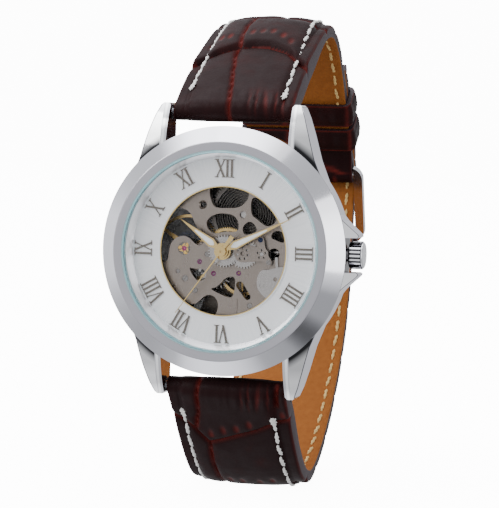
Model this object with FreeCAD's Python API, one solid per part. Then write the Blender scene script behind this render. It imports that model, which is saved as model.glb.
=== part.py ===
import FreeCAD, Part
import math
import os
from FreeCAD import Placement, Rotation, Vector

# Skeleton wristwatch: a hand-wound movement seen through the middle of the dial, in a round
# steel case, on a padded leather strap that is closed by a tang buckle.
#
# Frame, in millimetres: +X towards 3 o'clock and the crown, +Z towards 12 o'clock, and the dial
# faces -Y. The origin is the middle of the case back's glass, on the axis of the hands.
#
# The watch head is drawn lying on its back: x to 3 o'clock, y to 12 o'clock, and z, the height
# above the case back, up through the dial. save() stands those pieces upright. The strap and the
# buckle are drawn in the object's own frame.

# ---- driving dimensions -------------------------------------------------------------------
CASE_R = 19.6            # outer radius of the case middle
CASE_BORE_R = 16.2       # inside of the case middle
CASE_BACK_TOP = 1.2      # height of the case middle's lower face
BEZEL_SEAT = 7.4         # height of the case middle's upper face
BEZEL_R = 20.0
BEZEL_TOP = 10.4
BEZEL_FLAT_R = 17.4      # the flat ring round the glass ends here and the slope begins
CRYSTAL_R = 15.95
CRYSTAL_SEAT = 9.36
CRYSTAL_TOP = 10.6
BACK_GLASS_R = 13.85
LUG_INNER = 10.1         # half the gap between a pair of lugs
LUG_TIP = 23.6           # half of the length from lug tip to lug tip
BAR_Y, BAR_HEIGHT = 22.3, 2.6    # spring bars: distance from the hands' axis, and height
BAR_R = 0.75
GUARD_INNER = 2.75       # half the gap between the crown guards

DIAL_BOTTOM, DIAL_TOP = 7.2, 7.6
DIAL_R = 15.9
APERTURE_R = 10.4        # opening of the dial, through which the movement shows
NUMERAL_INNER, NUMERAL_OUTER = 11.8, 14.7

MOVEMENT_R = 13.0
PLATE_BOTTOM, PLATE_TOP = 5.0, 6.4
BRIDGE_BOTTOM, BRIDGE_TOP = 2.9, 2.2     # the bridges hang below the plate, so bottom is nearer it
BRIDGE_R = 12.8
WINDING_WHEELS = (1.7, 2.15)             # heights of the ratchet and crown wheels

# The wheel train: teeth, modules and axes. CENTRE carries the minute and second hands.
CENTRE = (0.0, 0.0)
BARREL = (2.8, 5.9)
THIRD = (2.352, -3.480)
ESCAPE = (-1.796, -3.686)
PALLET = (-4.165, -1.846)
BALANCE = (-6.8, 0.2)
BARREL_TEETH, CENTRE_PINION_TEETH, BARREL_MODULE = 74, 10, 0.1555
CENTRE_TEETH, THIRD_PINION_TEETH, CENTRE_MODULE = 75, 10, 0.09882
THIRD_TEETH, FOURTH_PINION_TEETH, THIRD_MODULE = 80, 10, 0.09333
FOURTH_TEETH, ESCAPE_PINION_TEETH, FOURTH_MODULE = 72, 8, 0.1025
ESCAPE_TEETH, ESCAPE_TIP_R = 20, 2.6

# Motion work under the dial: cannon pinion, minute wheel with its pinion, hour wheel, and the
# wheel through which the crown sets the hands.
MOTION_MODULE = 0.156
CANNON_TEETH, MINUTE_TEETH, MINUTE_PINION_TEETH, HOUR_TEETH, SETTING_TEETH = 10, 30, 8, 32, 10
MINUTE_WHEEL = (3.108, -0.272)
SETTING_WHEEL = (6.228, -0.272)

# Winding work: the stem lies along x at this height.
STEM_HEIGHT = 3.9
STEM_R = 0.55
WINDING_MODULE = 0.19957
RATCHET_TEETH, CROWN_WHEEL_TEETH, WINDING_PINION_TEETH = 42, 30, 17
CROWN_WHEEL = (6.9, 0.0)
PINION_FROM, PINION_TO = 9.35, 10.35
CLUTCH_FROM, CLUTCH_TO = 7.9, 9.2
CLUTCH_GROOVE = 8.55
STEM_GROOVE = 11.1
CROWN_R, CROWN_FROM, CROWN_TO = 2.25, 20.0, 22.3
CROWN_FLUTES, CROWN_FLUTES_TO = 22, 22.0
CROWN_BORE_R, CROWN_BORE_TO = 1.2, 21.5   # hollow that covers the tube
TUBE_R, TUBE_TO = 1.1, 20.7      # crown tube
STEM_END = 21.8
CLICK = (-2.4, 7.9)
LEVER_PIVOT = (11.1, -3.7)
YOKE_PIVOT = (8.55, -4.2)

# Time shown: 10 hours, 10 minutes and 36 seconds.
HOURS, MINUTES, SECONDS = 10, 10, 36

# Strap, in the object's own frame.
STRAP_HALF_WIDTH = 9.85  # at the lugs
STRAP_TAPER = 1.0 / 100  # loss of half width for each millimetre back from the lugs
LINING = 0.9             # thickness of the inner leather
BUCKLE_BAR = (48.7, 12.2)        # y and z of the bar that the buckle turns on
BUCKLE_TURN = 107.65     # turns the buckle's own frame from lying to its place, about x
BUCKLE_LENGTH = 11.54    # from the bar to the middle of the frame's far side
KEEPER_LINE_START, KEEPER_LINE_END = (46.6, 19.5), (38.8, 30.0)  # straight run under the keepers
KEEPER_LENGTH = 4.4

FIT = 0.05               # running clearance on a radius


# ---- drawing helpers ----------------------------------------------------------------------
def cylinder(r, z0, z1, at=CENTRE):
    return Part.makeCylinder(r, z1 - z0, Vector(at[0], at[1], z0))


def ring(r_out, r_in, z0, z1, at=CENTRE):
    return cylinder(r_out, z0, z1, at).cut(cylinder(r_in, z0 - 1, z1 + 1, at))


def box(x0, x1, y0, y1, z0, z1):
    return Part.makeBox(x1 - x0, y1 - y0, z1 - z0, Vector(x0, y0, z0))


def polygon(points):
    corners = [Vector(x, y, 0) for x, y in points]
    return Part.Face(Part.makePolygon(corners + corners[:1]))


def blob(points):
    """Face inside one smooth closed curve."""
    curve = Part.BSplineCurve()
    curve.interpolate(Points=[Vector(x, y, 0) for x, y in points], PeriodicFlag=True)
    return Part.Face(Part.Wire([curve.toShape()]))


def slab(face, z0, z1):
    return face.translated(Vector(0, 0, z0)).extrude(Vector(0, 0, z1 - z0))


def turned(profile, at=CENTRE):
    """Solid of revolution about the axis through `at`; the profile lists (radius, height)."""
    corners = [Vector(r, 0, z) for r, z in profile]
    face = Part.Face(Part.makePolygon(corners + corners[:1]))
    solid = face.revolve(Vector(0, 0, 0), Vector(0, 0, 1), 360)
    return solid.translated(Vector(at[0], at[1], 0))


def moved(shape, offset, axis, degrees):
    """Copy of a shape, turned about an axis through the origin and then shifted."""
    copy = shape.copy()
    copy.Placement = Placement(offset, Rotation(axis, degrees)).multiply(copy.Placement)
    return copy


def along_x(shape, height=STEM_HEIGHT):
    """Lay a piece that was drawn about z along the stem's axis."""
    return moved(shape, Vector(0, 0, height), Vector(0, 1, 0), 90)


def polar(r, degrees, about=CENTRE):
    angle = math.radians(degrees)
    return about[0] + r * math.cos(angle), about[1] + r * math.sin(angle)


def link(spots, z0, z1):
    """Lever or bridge: discs (x, y, radius) joined by straight flanks that touch both."""
    shape = None
    for x, y, r in spots:
        disc = cylinder(r, z0, z1, (x, y))
        shape = disc if shape is None else shape.fuse(disc)
    for (xa, ya, ra), (xb, yb, rb) in zip(spots, spots[1:]):
        heading = math.degrees(math.atan2(yb - ya, xb - xa))
        lean = math.degrees(math.acos((ra - rb) / math.hypot(xb - xa, yb - ya)))
        flank = [polar(ra, heading + lean, (xa, ya)), polar(rb, heading + lean, (xb, yb)),
                 polar(rb, heading - lean, (xb, yb)), polar(ra, heading - lean, (xa, ya))]
        shape = shape.fuse(slab(polygon(flank), z0, z1))
    return shape.removeSplitter()


def gear(teeth, module, z0, z1, at=CENTRE, phase=0.0):
    """Toothed disc with straight-flanked teeth, one of them centred on the phase angle."""
    pitch_r = teeth * module / 2
    root_r, tip_r = pitch_r - 1.2 * module, pitch_r + 0.95 * module
    step = 360 / teeth
    points = []
    for i in range(teeth):
        for r, share in ((root_r, -0.31), (tip_r, -0.13), (tip_r, 0.13), (root_r, 0.31)):
            points.append(polar(r, phase + (i + share) * step, at))
    return slab(polygon(points), z0, z1)


def meshing_phase(teeth_a, at_a, phase_a, teeth_b, at_b):
    """Phase that puts a gap of gear b against a tooth of gear a on their line of centres."""
    line = math.degrees(math.atan2(at_b[1] - at_a[1], at_b[0] - at_a[0]))
    offset = (phase_a - line) / (360 / teeth_a) + 0.5
    return line + 180 - offset * 360 / teeth_b


def crossed_out(wheel, hub_r, rim_r, spokes, spoke_width, z0, z1, at):
    """Cut the windows between a wheel's spokes."""
    windows = ring(rim_r, hub_r, z0 - 1, z1 + 1, at)
    for i in range(spokes):
        spoke = box(0, rim_r + 1, -spoke_width / 2, spoke_width / 2, z0 - 2, z1 + 2)
        spoke.rotate(Vector(0, 0, 0), Vector(0, 0, 1), 90 + i * 360 / spokes)
        windows = windows.cut(spoke.translated(Vector(at[0], at[1], 0)))
    return wheel.cut(windows)


def spiral(r_start, r_end, turns, thickness, z0, z1, at, start_angle=0.0):
    """Flat spring wound evenly from one radius to another."""
    per_turn = 16
    count = int(turns * per_turn)
    sides = []
    for offset in (0.0, thickness):
        points = [polar(r_start + (r_end - r_start) * i / count + offset,
                        start_angle + 360 * i / per_turn, at) for i in range(count + 1)]
        curve = Part.BSplineCurve()
        curve.interpolate([Vector(x, y, z0) for x, y in points])
        sides.append(curve.toShape())
    inner, outer = sides
    ends = [Part.makeLine(inner.Vertexes[i].Point, outer.Vertexes[i].Point) for i in (0, 1)]
    wire = Part.Wire(Part.__sortEdges__([inner, outer] + ends))
    return Part.Face(wire).extrude(Vector(0, 0, z1 - z0))


def four_ways(solid):
    """A solid and its mirror images across both planes of the case."""
    right = [solid, solid.mirror(Vector(0, 0, 0), Vector(0, 1, 0))]
    return right + [s.mirror(Vector(0, 0, 0), Vector(1, 0, 0)) for s in right]


def screw(at, head_r, z_under, z_head, z_tip, shank_r=0.3):
    """Slotted screw along z: head from z_under to z_head, shank on to z_tip."""
    head = cylinder(head_r, min(z_under, z_head), max(z_under, z_head), at)
    depth = 0.45 * (z_head - z_under)
    slot = box(-head_r - 1, head_r + 1, -0.07, 0.07, min(z_head, z_head - depth),
               max(z_head, z_head - depth))
    slot.rotate(Vector(0, 0, 0), Vector(0, 0, 1), 40 + 25 * at[0])
    shank = cylinder(shank_r, min(z_under, z_tip), max(z_under, z_tip), at)
    return head.cut(slot.translated(Vector(at[0], at[1], 0))).fuse(shank)


# ---- case ---------------------------------------------------------------------------------
def lug_section(x, drop):
    """Side outline of a lug at one x: the upper edge curves down towards the tip."""
    root_y, bend_y = 6.0, 15.0
    low, tip_low, tip_high = CASE_BACK_TOP, 0.9, 4.4
    high = BEZEL_SEAT - drop
    crown_curve = Part.Arc(Vector(x, LUG_TIP, tip_high - 0.7 * drop),
                           Vector(x, 19.9, high - 0.95), Vector(x, bend_y, high)).toShape()
    corners = [Vector(x, bend_y, high), Vector(x, root_y, high), Vector(x, root_y, low),
               Vector(x, LUG_TIP, tip_low), Vector(x, LUG_TIP, tip_high - 0.7 * drop)]
    lines = [Part.makeLine(a, b) for a, b in zip(corners, corners[1:])]
    return Part.Wire(Part.__sortEdges__(lines + [crown_curve]))


def lug():
    """Lug at 1 o'clock: a narrow flat beside the strap and a wide facet that falls outwards."""
    ridge_x, outer_x, facet_drop = LUG_INNER + 0.95, 18.6, 1.5
    flat = Part.Face(lug_section(LUG_INNER, 0.0)).extrude(Vector(ridge_x - LUG_INNER, 0, 0))
    facet = Part.makeLoft([lug_section(ridge_x, 0.0), lug_section(outer_x, facet_drop)], True, True)
    plan = polygon([(LUG_INNER, 6), (LUG_INNER, LUG_TIP - 0.4), (LUG_INNER + 0.3, LUG_TIP),
                    (11.3, LUG_TIP), (11.7, LUG_TIP - 0.4), (12.4, 21.6), (13.3, 18.8), (14.4, 14.9),
                    (16.9, 8.6), (18.5, 6)])
    return flat.fuse(facet).common(slab(plan, 0, 9))


def crown_guard():
    """Wedge beside the crown, on the 12 o'clock side."""
    plan = polygon([(17.5, GUARD_INNER), (21.5, GUARD_INNER), (21.8, GUARD_INNER + 0.25),
                    (21.6, GUARD_INNER + 0.6), (19.3, 5.4), (17.5, 7.6)])
    side = Part.Face(Part.makePolygon([
        Vector(17, 2, 1.6), Vector(23, 2, 2.5), Vector(23, 2, 5.6), Vector(17, 2, 7.3),
        Vector(17, 2, 1.6)])).extrude(Vector(0, 8, 0))
    return slab(plan, 0, 9).common(side)


def case_middle():
    body = turned([(0, CASE_BACK_TOP), (CASE_R - 0.5, CASE_BACK_TOP), (CASE_R, CASE_BACK_TOP + 0.5),
                   (CASE_R, BEZEL_SEAT), (0, BEZEL_SEAT)])
    for piece in four_ways(lug()):
        body = body.fuse(piece)
    guard = crown_guard()
    body = body.fuse(guard).fuse(guard.mirror(Vector(0, 0, 0), Vector(0, 1, 0)))
    body = body.cut(cylinder(CASE_BORE_R, 0, 9)).cut(cylinder(18.0, 0, CASE_BACK_TOP))
    body = body.cut(along_x(cylinder(TUBE_R + 0.02, 15, 21)))
    for y in (BAR_Y, -BAR_Y):
        holes = Part.makeCylinder(0.5, 2 * LUG_INNER + 2, Vector(-LUG_INNER - 1, y, BAR_HEIGHT),
                                  Vector(1, 0, 0))
        body = body.cut(holes)
    return body.removeSplitter()


def bezel():
    return turned([(16.17, BEZEL_SEAT), (BEZEL_R - 0.12, BEZEL_SEAT), (BEZEL_R, BEZEL_SEAT + 0.12),
                   (BEZEL_R, 7.85), (BEZEL_FLAT_R + 0.08, BEZEL_TOP - 0.03),
                   (BEZEL_FLAT_R - 0.05, BEZEL_TOP), (16.17, BEZEL_TOP)])


def crystal():
    bevel = 0.16
    return turned([(0, CRYSTAL_SEAT), (CRYSTAL_R, CRYSTAL_SEAT), (CRYSTAL_R, CRYSTAL_TOP - bevel),
                   (CRYSTAL_R - bevel, CRYSTAL_TOP), (0, CRYSTAL_TOP)])


def crystal_gasket():
    return ring(16.15, CRYSTAL_R + 0.02, CRYSTAL_SEAT, BEZEL_TOP)


def rehaut_ring():
    """Polished cone between the dial and the glass."""
    return turned([(15.0, DIAL_TOP + 0.01), (15.98, CRYSTAL_SEAT - 0.02),
                   (16.14, CRYSTAL_SEAT - 0.02), (16.14, DIAL_TOP + 0.01)])


def case_back():
    back = turned([(BACK_GLASS_R + 0.03, 0.05), (17.3, 0.05), (17.9, 0.45), (17.9, 1.18),
                   (16.1, 1.18), (16.1, 2.05), (15.2, 2.05), (15.2, 1.4), (13.2, 1.4), (13.2, 1.03),
                   (BACK_GLASS_R + 0.03, 1.03)])
    for i in range(6):
        notch = box(16.6, 19, -1.1, 1.1, -1, 0.55)
        notch.rotate(Vector(0, 0, 0), Vector(0, 0, 1), 30 + 60 * i)
        back = back.cut(notch)
    return back


def case_back_glass():
    return cylinder(BACK_GLASS_R, 0, 1.0)


def movement_ring():
    """Spacer that holds the movement in the case and carries the dial."""
    body = turned([(MOVEMENT_R + 0.05, 2.1), (16.1, 2.1), (16.1, 7.15), (12.7, 7.15),
                   (12.7, PLATE_TOP + 0.04), (MOVEMENT_R + 0.05, PLATE_TOP + 0.04)])
    return body.cut(along_x(cylinder(0.75, 12, 17)))


def crown_tube():
    return along_x(ring(TUBE_R, STEM_R + 0.08, CASE_BORE_R + 0.15, TUBE_TO))


def lug_spring_bars():
    bars = []
    for y in (BAR_Y, -BAR_Y):
        barrel_end, tip_end = LUG_INNER - 0.15, LUG_INNER + 0.75
        bar = Part.makeCylinder(BAR_R, 2 * barrel_end, Vector(-barrel_end, y, BAR_HEIGHT),
                                Vector(1, 0, 0))
        tips = Part.makeCylinder(0.42, 2 * tip_end, Vector(-tip_end, y, BAR_HEIGHT),
                                 Vector(1, 0, 0))
        bars.append(bar.fuse(tips))
    return bars


# ---- dial and hands -----------------------------------------------------------------------
def dial():
    body = ring(DIAL_R, APERTURE_R, DIAL_BOTTOM, DIAL_TOP)
    for foot in ((-8.0, 8.4), (7.4, -8.9)):
        body = body.fuse(cylinder(0.4, PLATE_TOP + 0.02, DIAL_TOP - 0.1, foot))
    return body.removeSplitter()


def aperture_ring():
    return ring(APERTURE_R + 0.2, APERTURE_R - 0.14, DIAL_TOP + 0.01, DIAL_TOP + 0.16)


def slanted_stroke(x_low, x_high, width, height):
    return polygon([(x_low - width / 2, 0), (x_low + width / 2, 0),
                    (x_high + width / 2, height), (x_high - width / 2, height)])


def letter_faces(letter, height):
    """Strokes and serifs of one Roman letter, centred on x, standing on y = 0."""
    thick, thin, serif, foot = 0.34, 0.17, 0.13, 0.42
    top = height - serif

    def serif_at(x, y, half=foot):
        return polygon([(x - half, y), (x + half, y), (x + half, y + serif), (x - half, y + serif)])

    if letter == "I":
        return [slanted_stroke(0, 0, thick, height), serif_at(0, 0), serif_at(0, top)]
    half = 0.62
    if letter == "V":
        return [slanted_stroke(0.06, -half, thick, height), slanted_stroke(0.0, half, thin, height),
                serif_at(-half, top, 0.36), serif_at(half, top, 0.3)]
    return [slanted_stroke(half, -half, thick, height), slanted_stroke(-half, half, thin, height),
            serif_at(-half, top, 0.36), serif_at(half, top, 0.3),
            serif_at(-half, 0, 0.3), serif_at(half, 0, 0.36)]


def hour_markers():
    """Twelve Roman numerals, feet towards the middle of the dial."""
    numerals = ("XII", "I", "II", "III", "IIII", "V", "VI", "VII", "VIII", "IX", "X", "XI")
    advance = {"I": 0.74, "V": 1.46, "X": 1.5}
    height = NUMERAL_OUTER - NUMERAL_INNER
    solids = []
    for hour, numeral in enumerate(numerals):
        x = -sum(advance[c] for c in numeral) / 2
        whole = None
        for letter in numeral:
            x += advance[letter] / 2
            for face in letter_faces(letter, height):
                stroke = slab(face, DIAL_TOP + 0.01, DIAL_TOP + 0.17)
                stroke = stroke.translated(Vector(x, NUMERAL_INNER, 0))
                whole = stroke if whole is None else whole.fuse(stroke)
            x += advance[letter] / 2
        whole = whole.removeSplitter()
        whole.rotate(Vector(0, 0, 0), Vector(0, 0, 1), -30 * hour)
        solids += whole.Solids
    return solids


def pointing(shape, degrees):
    """Turn a hand that was drawn pointing to 12 o'clock, clockwise as the dial is read."""
    shape.rotate(Vector(0, 0, 0), Vector(0, 0, 1), -degrees)
    return shape


def hour_angle():
    return 30 * (HOURS + (MINUTES + SECONDS / 60) / 60)


def minute_angle():
    return 6 * (MINUTES + SECONDS / 60)


def lance(widths, z0, z1):
    """Blade that is symmetric about y; widths lists (distance from the axis, half width)."""
    right = [(half, y) for y, half in widths]
    left = [(-half, y) for y, half in reversed(widths) if half > 0]
    return slab(polygon(right + left), z0, z1)


HOUR_LUME = [(1.75, 0.10), (2.3, 0.46), (3.4, 0.36), (5.5, 0.14), (5.7, 0.0)]
MINUTE_LUME = [(1.75, 0.10), (2.4, 0.44), (4.0, 0.36), (8.0, 0.13), (8.3, 0.0)]


def hand(widths, lume, hub_r, bore_r, z0):
    """Lance hand with a recess for its luminous inlay and a round hub."""
    z1 = z0 + 0.2
    blade = lance(widths, z0, z1).fuse(cylinder(hub_r, z0, z1)).cut(cylinder(bore_r, z0 - 1, z1 + 1))
    recess = lance([(y, half + 0.01 if half else 0.0) for y, half in lume], z0 + 0.08, z1 + 1)
    return blade.cut(recess).removeSplitter()


HOUR_HAND_Z, MINUTE_HAND_Z = 7.9, 8.4


def hour_hand():
    widths = [(0.6, 0.34), (1.2, 0.34), (2.3, 0.74), (3.4, 0.60), (6.2, 0.26), (8.75, 0.0)]
    return pointing(hand(widths, HOUR_LUME, 1.35, 0.96, HOUR_HAND_Z), hour_angle())


def hour_hand_lume():
    return pointing(lance(HOUR_LUME, HOUR_HAND_Z + 0.08, HOUR_HAND_Z + 0.22), hour_angle())


def minute_hand():
    widths = [(0.5, 0.3), (1.2, 0.3), (2.4, 0.70), (4.2, 0.55), (8.6, 0.24), (12.8, 0.0)]
    return pointing(hand(widths, MINUTE_LUME, 1.05, 0.61, MINUTE_HAND_Z), minute_angle())


def minute_hand_lume():
    return pointing(lance(MINUTE_LUME, MINUTE_HAND_Z + 0.08, MINUTE_HAND_Z + 0.22),
                    minute_angle())


def second_hand():
    z0, z1 = 8.9, 9.05
    needle = lance([(0, 0.13), (12.4, 0.045), (12.45, 0.0)], z0, z1)
    tail = polygon([(-0.2, 0), (0.2, 0), (0.36, -3.05), (-0.36, -3.05)])
    body = needle.fuse(slab(tail, z0, z1)).fuse(cylinder(0.78, z0 - 0.1, z1 + 0.1))
    body = body.cut(cylinder(0.19, z0 - 1, z1 + 1))
    return pointing(body, 6 * SECONDS)


# ---- plate and bridges --------------------------------------------------------------------
PLATE_WINDOWS = {
    "balance": [(-7.7, 6.7), (-5.8, 5.7), (-4.7, 3.6), (-3.4, 1.7), (-4.0, 0.8), (-4.8, 0.9),
                (-5.7, 1.7), (-6.9, 2.2), (-8.2, 1.8), (-9.1, 0.6), (-9.9, -2.1), (-11.2, -1.4),
                (-11.7, 2.2), (-10.4, 5.4)],
    "top": [(-2.7, 8.8), (-2.5, 10.3), (-0.4, 11.2), (2.2, 10.8), (3.7, 9.3), (2.5, 7.3),
            (0.3, 6.9), (-1.9, 7.1)],
    "centre": [(-3.0, 4.9), (-2.4, 5.5), (-0.1, 6.0), (1.4, 5.6), (2.1, 4.5), (2.0, 3.4),
               (0.0, 3.1), (-1.9, 2.8), (-2.8, 3.4)],
    "small": [(3.0, 3.0), (3.1, 4.3), (4.0, 4.8), (4.9, 4.2), (5.1, 3.4), (4.2, 2.9)],
    "upper right": [(4.1, 7.0), (4.7, 8.7), (6.3, 7.9), (8.4, 5.3), (7.0, 4.2), (5.2, 5.2)],
    "beside the stem": [(7.6, 2.8), (8.5, 3.5), (9.7, 2.9), (9.6, 1.7), (8.6, 1.9)],
    "kidney": [(-5.6, -2.9), (-4.6, -3.0), (-3.4, -3.2), (-3.1, -4.3), (-3.8, -4.9), (-5.0, -4.4)],
    "lower left": [(-5.8, -8.6), (-4.2, -8.3), (-2.8, -7.2), (-1.6, -7.4), (-1.2, -10.0),
                   (-3.0, -11.2), (-4.9, -10.3)],
    "lower centre": [(-1.9, -6.0), (-0.6, -5.2), (0.3, -4.3), (1.6, -4.2), (1.8, -5.4),
                     (1.3, -7.3), (-0.2, -7.1)],
}
DIAL_SIDE_SCREWS = ((-7.7, -3.5, 0.32), (-6.5, -4.6, 0.48), (-4.8, -6.5, 0.42),
                    (4.3, -8.6, 0.40), (-2.9, -0.6, 0.42))
COVER_FEET = ((6.0, 2.0), (7.42, -1.55))
JUMPER_SCREWS = ((6.35, -5.3), (9.9, -6.3))
BARREL_BRIDGE_POSTS = ((-4.6, 11.0), (10.8, 4.4), (11.2, -3.2))
TRAIN_BRIDGE_POSTS = ((6.0, -10.0), (-3.6, -11.2))
COCK_POST = (-8.2, -8.5)
SHOCK_R = 1.0            # radius of the shock setting round each balance jewel
JEWEL_R = 0.42
CLICK_TIP_R = 4.5        # distance of the click's tip from the barrel's axis


def main_plate():
    plate = cylinder(MOVEMENT_R, PLATE_BOTTOM, PLATE_TOP)
    low, high = PLATE_BOTTOM - 1, PLATE_TOP + 1
    for window in PLATE_WINDOWS.values():
        plate = plate.cut(slab(blob(window), low, high))
    plate = plate.cut(link([(2.6, -5.4, 0.62), (3.9, -7.2, 0.5)], low, high))
    plate = plate.cut(cylinder(0.9, low, high, (8.1, -0.2)))
    plate = plate.cut(turned([(0, low), (0.42, low), (0.42, 6.1), (0.72, 6.41), (0.72, high),
                              (0, high)], (-3.9, 7.3)))
    # Milled from below: room for the winding pinion and the clutch; slots for the levers' pins.
    plate = plate.cut(box(7.3, 10.9, -2.05, 2.05, low, 5.88))
    plate = plate.cut(box(10.75, 12.45, -1.05, -0.05, low, high))
    plate = plate.cut(box(7.65, 8.85, -1.2, -0.5, low, high))
    # Bearings.
    plate = plate.cut(cylinder(0.5, low, high))
    plate = plate.cut(cylinder(0.55, low, high, BARREL))
    for at in (THIRD, ESCAPE, PALLET):
        plate = plate.cut(cylinder(JEWEL_R + 0.01, 5.88, high, at))
        plate = plate.cut(cylinder(0.28, low, high, at))
    plate = plate.cut(cylinder(SHOCK_R + 0.02, 5.6, high, BALANCE))
    plate = plate.cut(cylinder(0.6, low, high, BALANCE))
    plate = plate.cut(cylinder(0.36, low, high, SETTING_WHEEL))
    for x, y, r in DIAL_SIDE_SCREWS:
        plate = plate.cut(cylinder(r + 0.06, 6.15, high, (x, y)))
        plate = plate.cut(cylinder(0.22, 5.5, high, (x, y)))
    for at in BARREL_BRIDGE_POSTS + TRAIN_BRIDGE_POSTS + (COCK_POST,):
        plate = plate.cut(cylinder(0.33, low, 5.9, at))
    for at in COVER_FEET:
        plate = plate.cut(cylinder(0.24, 5.6, high, at))
    # Studs that the minute wheel, the setting lever and the yoke turn on.
    for at, r in ((MINUTE_WHEEL, 0.3), (LEVER_PIVOT, 0.34), (YOKE_PIVOT, 0.3)):
        plate = plate.fuse(cylinder(r, PLATE_TOP - 0.2, 6.74, at))
    # Fine parting line beside the lower window.
    plate = plate.cut(box(2.2, 2.32, -10.4, -7.6, 6.25, high))
    return plate.removeSplitter()


def with_posts(bridge, posts, r):
    """Join a bridge to the posts that stand on the main plate, and drill them for screws."""
    for at in posts:
        bridge = bridge.fuse(cylinder(r, BRIDGE_TOP, PLATE_BOTTOM - 0.01, at))
    for at in posts:
        bridge = bridge.cut(cylinder(0.33, 0, 6, at))
    return bridge


def trimmed_bridge(face, bevel=0.18):
    """Bridge cut from a free outline, round and bevelled where it meets the movement's rim."""
    return slab(face, BRIDGE_TOP, BRIDGE_BOTTOM).common(
        turned([(0, BRIDGE_TOP - 1), (BRIDGE_R - bevel, BRIDGE_TOP - 1),
                (BRIDGE_R - bevel, BRIDGE_TOP), (BRIDGE_R, BRIDGE_TOP + bevel),
                (BRIDGE_R, 5), (0, 5)]))


def barrel_bridge():
    face = blob([(-6.0, 13.4), (-4.6, 9.4), (-3.5, 7.4), (-2.2, 5.2), (-0.6, 3.2), (1.2, 1.9),
                 (2.6, 0.8), (3.3, -1.4), (4.6, -3.3), (7.4, -4.4), (12.5, -5.0), (17.0, 0.0),
                 (13.0, 12.5), (3.0, 17.0)])
    body = with_posts(trimmed_bridge(face), BARREL_BRIDGE_POSTS, 0.95)
    body = body.cut(cylinder(0.56, 0, 4, BARREL))
    # Opening where the winding pinion reaches up to the crown wheel.
    body = body.cut(box(PINION_FROM - 0.15, PINION_TO + 0.1, -1.75, 1.75, 0, 4))
    # Core that the crown wheel turns on, and the stud of the click.
    body = body.fuse(cylinder(1.0, WINDING_WHEELS[0], BRIDGE_TOP + 0.3, CROWN_WHEEL))
    body = body.fuse(cylinder(0.28, WINDING_WHEELS[0] + 0.02, BRIDGE_TOP + 0.3, CLICK))
    body = body.cut(cylinder(0.33, 0, 2.8, CROWN_WHEEL))
    return body.removeSplitter()


def train_bridge():
    face = blob([(-1.4, 0.7), (0.1, 1.25), (1.5, 0.3), (2.3, -1.7), (3.7, -3.6), (5.6, -5.4),
                 (8.0, -7.4), (10.0, -12.0), (2.0, -16.0), (-6.0, -15.0), (-4.7, -9.6),
                 (-3.6, -6.0), (-2.9, -2.8)])
    body = with_posts(trimmed_bridge(face), TRAIN_BRIDGE_POSTS, 0.95)
    for at in (CENTRE, THIRD, ESCAPE):
        body = body.cut(cylinder(JEWEL_R + 0.01, 0, 4, at))
    return body


def balance_cock():
    body = link([(*BALANCE, 1.55), (-8.3, -5.0, 1.15), (*COCK_POST, 2.3)], BRIDGE_TOP,
                BRIDGE_BOTTOM)
    body = body.common(cylinder(BRIDGE_R, 0, 9))
    body = with_posts(body, (COCK_POST,), 1.2)
    # Stud that holds the outer end of the hairspring.
    body = body.fuse(cylinder(0.16, BRIDGE_TOP + 0.1, 3.15, polar(2.93, -72, BALANCE)).fuse(
        link([(*polar(1.2, -72, BALANCE), 0.3), (*polar(2.93, -72, BALANCE), 0.26)], 2.5, 2.85)))
    return body.cut(cylinder(SHOCK_R + 0.02, 0, 4, BALANCE)).removeSplitter()


PALLET_POSTS = ((-6.7, -3.7), (-4.45, 0.75))


def pallet_bridge():
    body = link([(*PALLET_POSTS[0], 0.62), (*PALLET, 0.62), (*PALLET_POSTS[1], 0.55)], 3.95, 4.2)
    for at in PALLET_POSTS:
        body = body.fuse(cylinder(0.42, 4.0, PLATE_BOTTOM - 0.01, at))
    return body.cut(cylinder(0.16, 3, 6, PALLET)).removeSplitter()


def train_jewels():
    """Pierced jewels of the plate and the bridges."""
    bore = 0.12
    jewels = [ring(JEWEL_R, bore, 5.9, PLATE_TOP - 0.02, at) for at in (THIRD, ESCAPE, PALLET)]
    jewels += [ring(JEWEL_R, 0.24 if at == CENTRE else bore, BRIDGE_TOP + 0.05, BRIDGE_BOTTOM - 0.05,
                    at) for at in (CENTRE, THIRD, ESCAPE)]
    return jewels


def shock_settings():
    """At both ends of the balance staff: a jewel in a brass cup under a lyre-shaped spring."""
    solids = []
    for cup_z0, cup_z1, out in ((5.62, 6.3, 1), (BRIDGE_TOP + 0.1, BRIDGE_BOTTOM - 0.04, -1)):
        top = cup_z1 if out > 0 else cup_z0
        jewel_top = top - 0.06 * out
        cup = ring(SHOCK_R, 0.46, cup_z0, cup_z1, BALANCE)
        jewel = ring(0.45, 0.1, min(jewel_top, jewel_top - 0.3 * out),
                     max(jewel_top, jewel_top - 0.3 * out), BALANCE)
        spring_far = top + 0.1 * out
        z0, z1 = min(top, spring_far), max(top, spring_far)
        spring = ring(0.92, 0.74, z0, z1, BALANCE)
        for angle in (60, 180, 300):
            tongue = link([(*polar(0.8, angle, BALANCE), 0.1), (*polar(0.3, angle, BALANCE), 0.07)],
                          z0, z1)
            spring = spring.fuse(tongue)
        solids += [cup, jewel, spring.removeSplitter()]
    return solids


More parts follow.
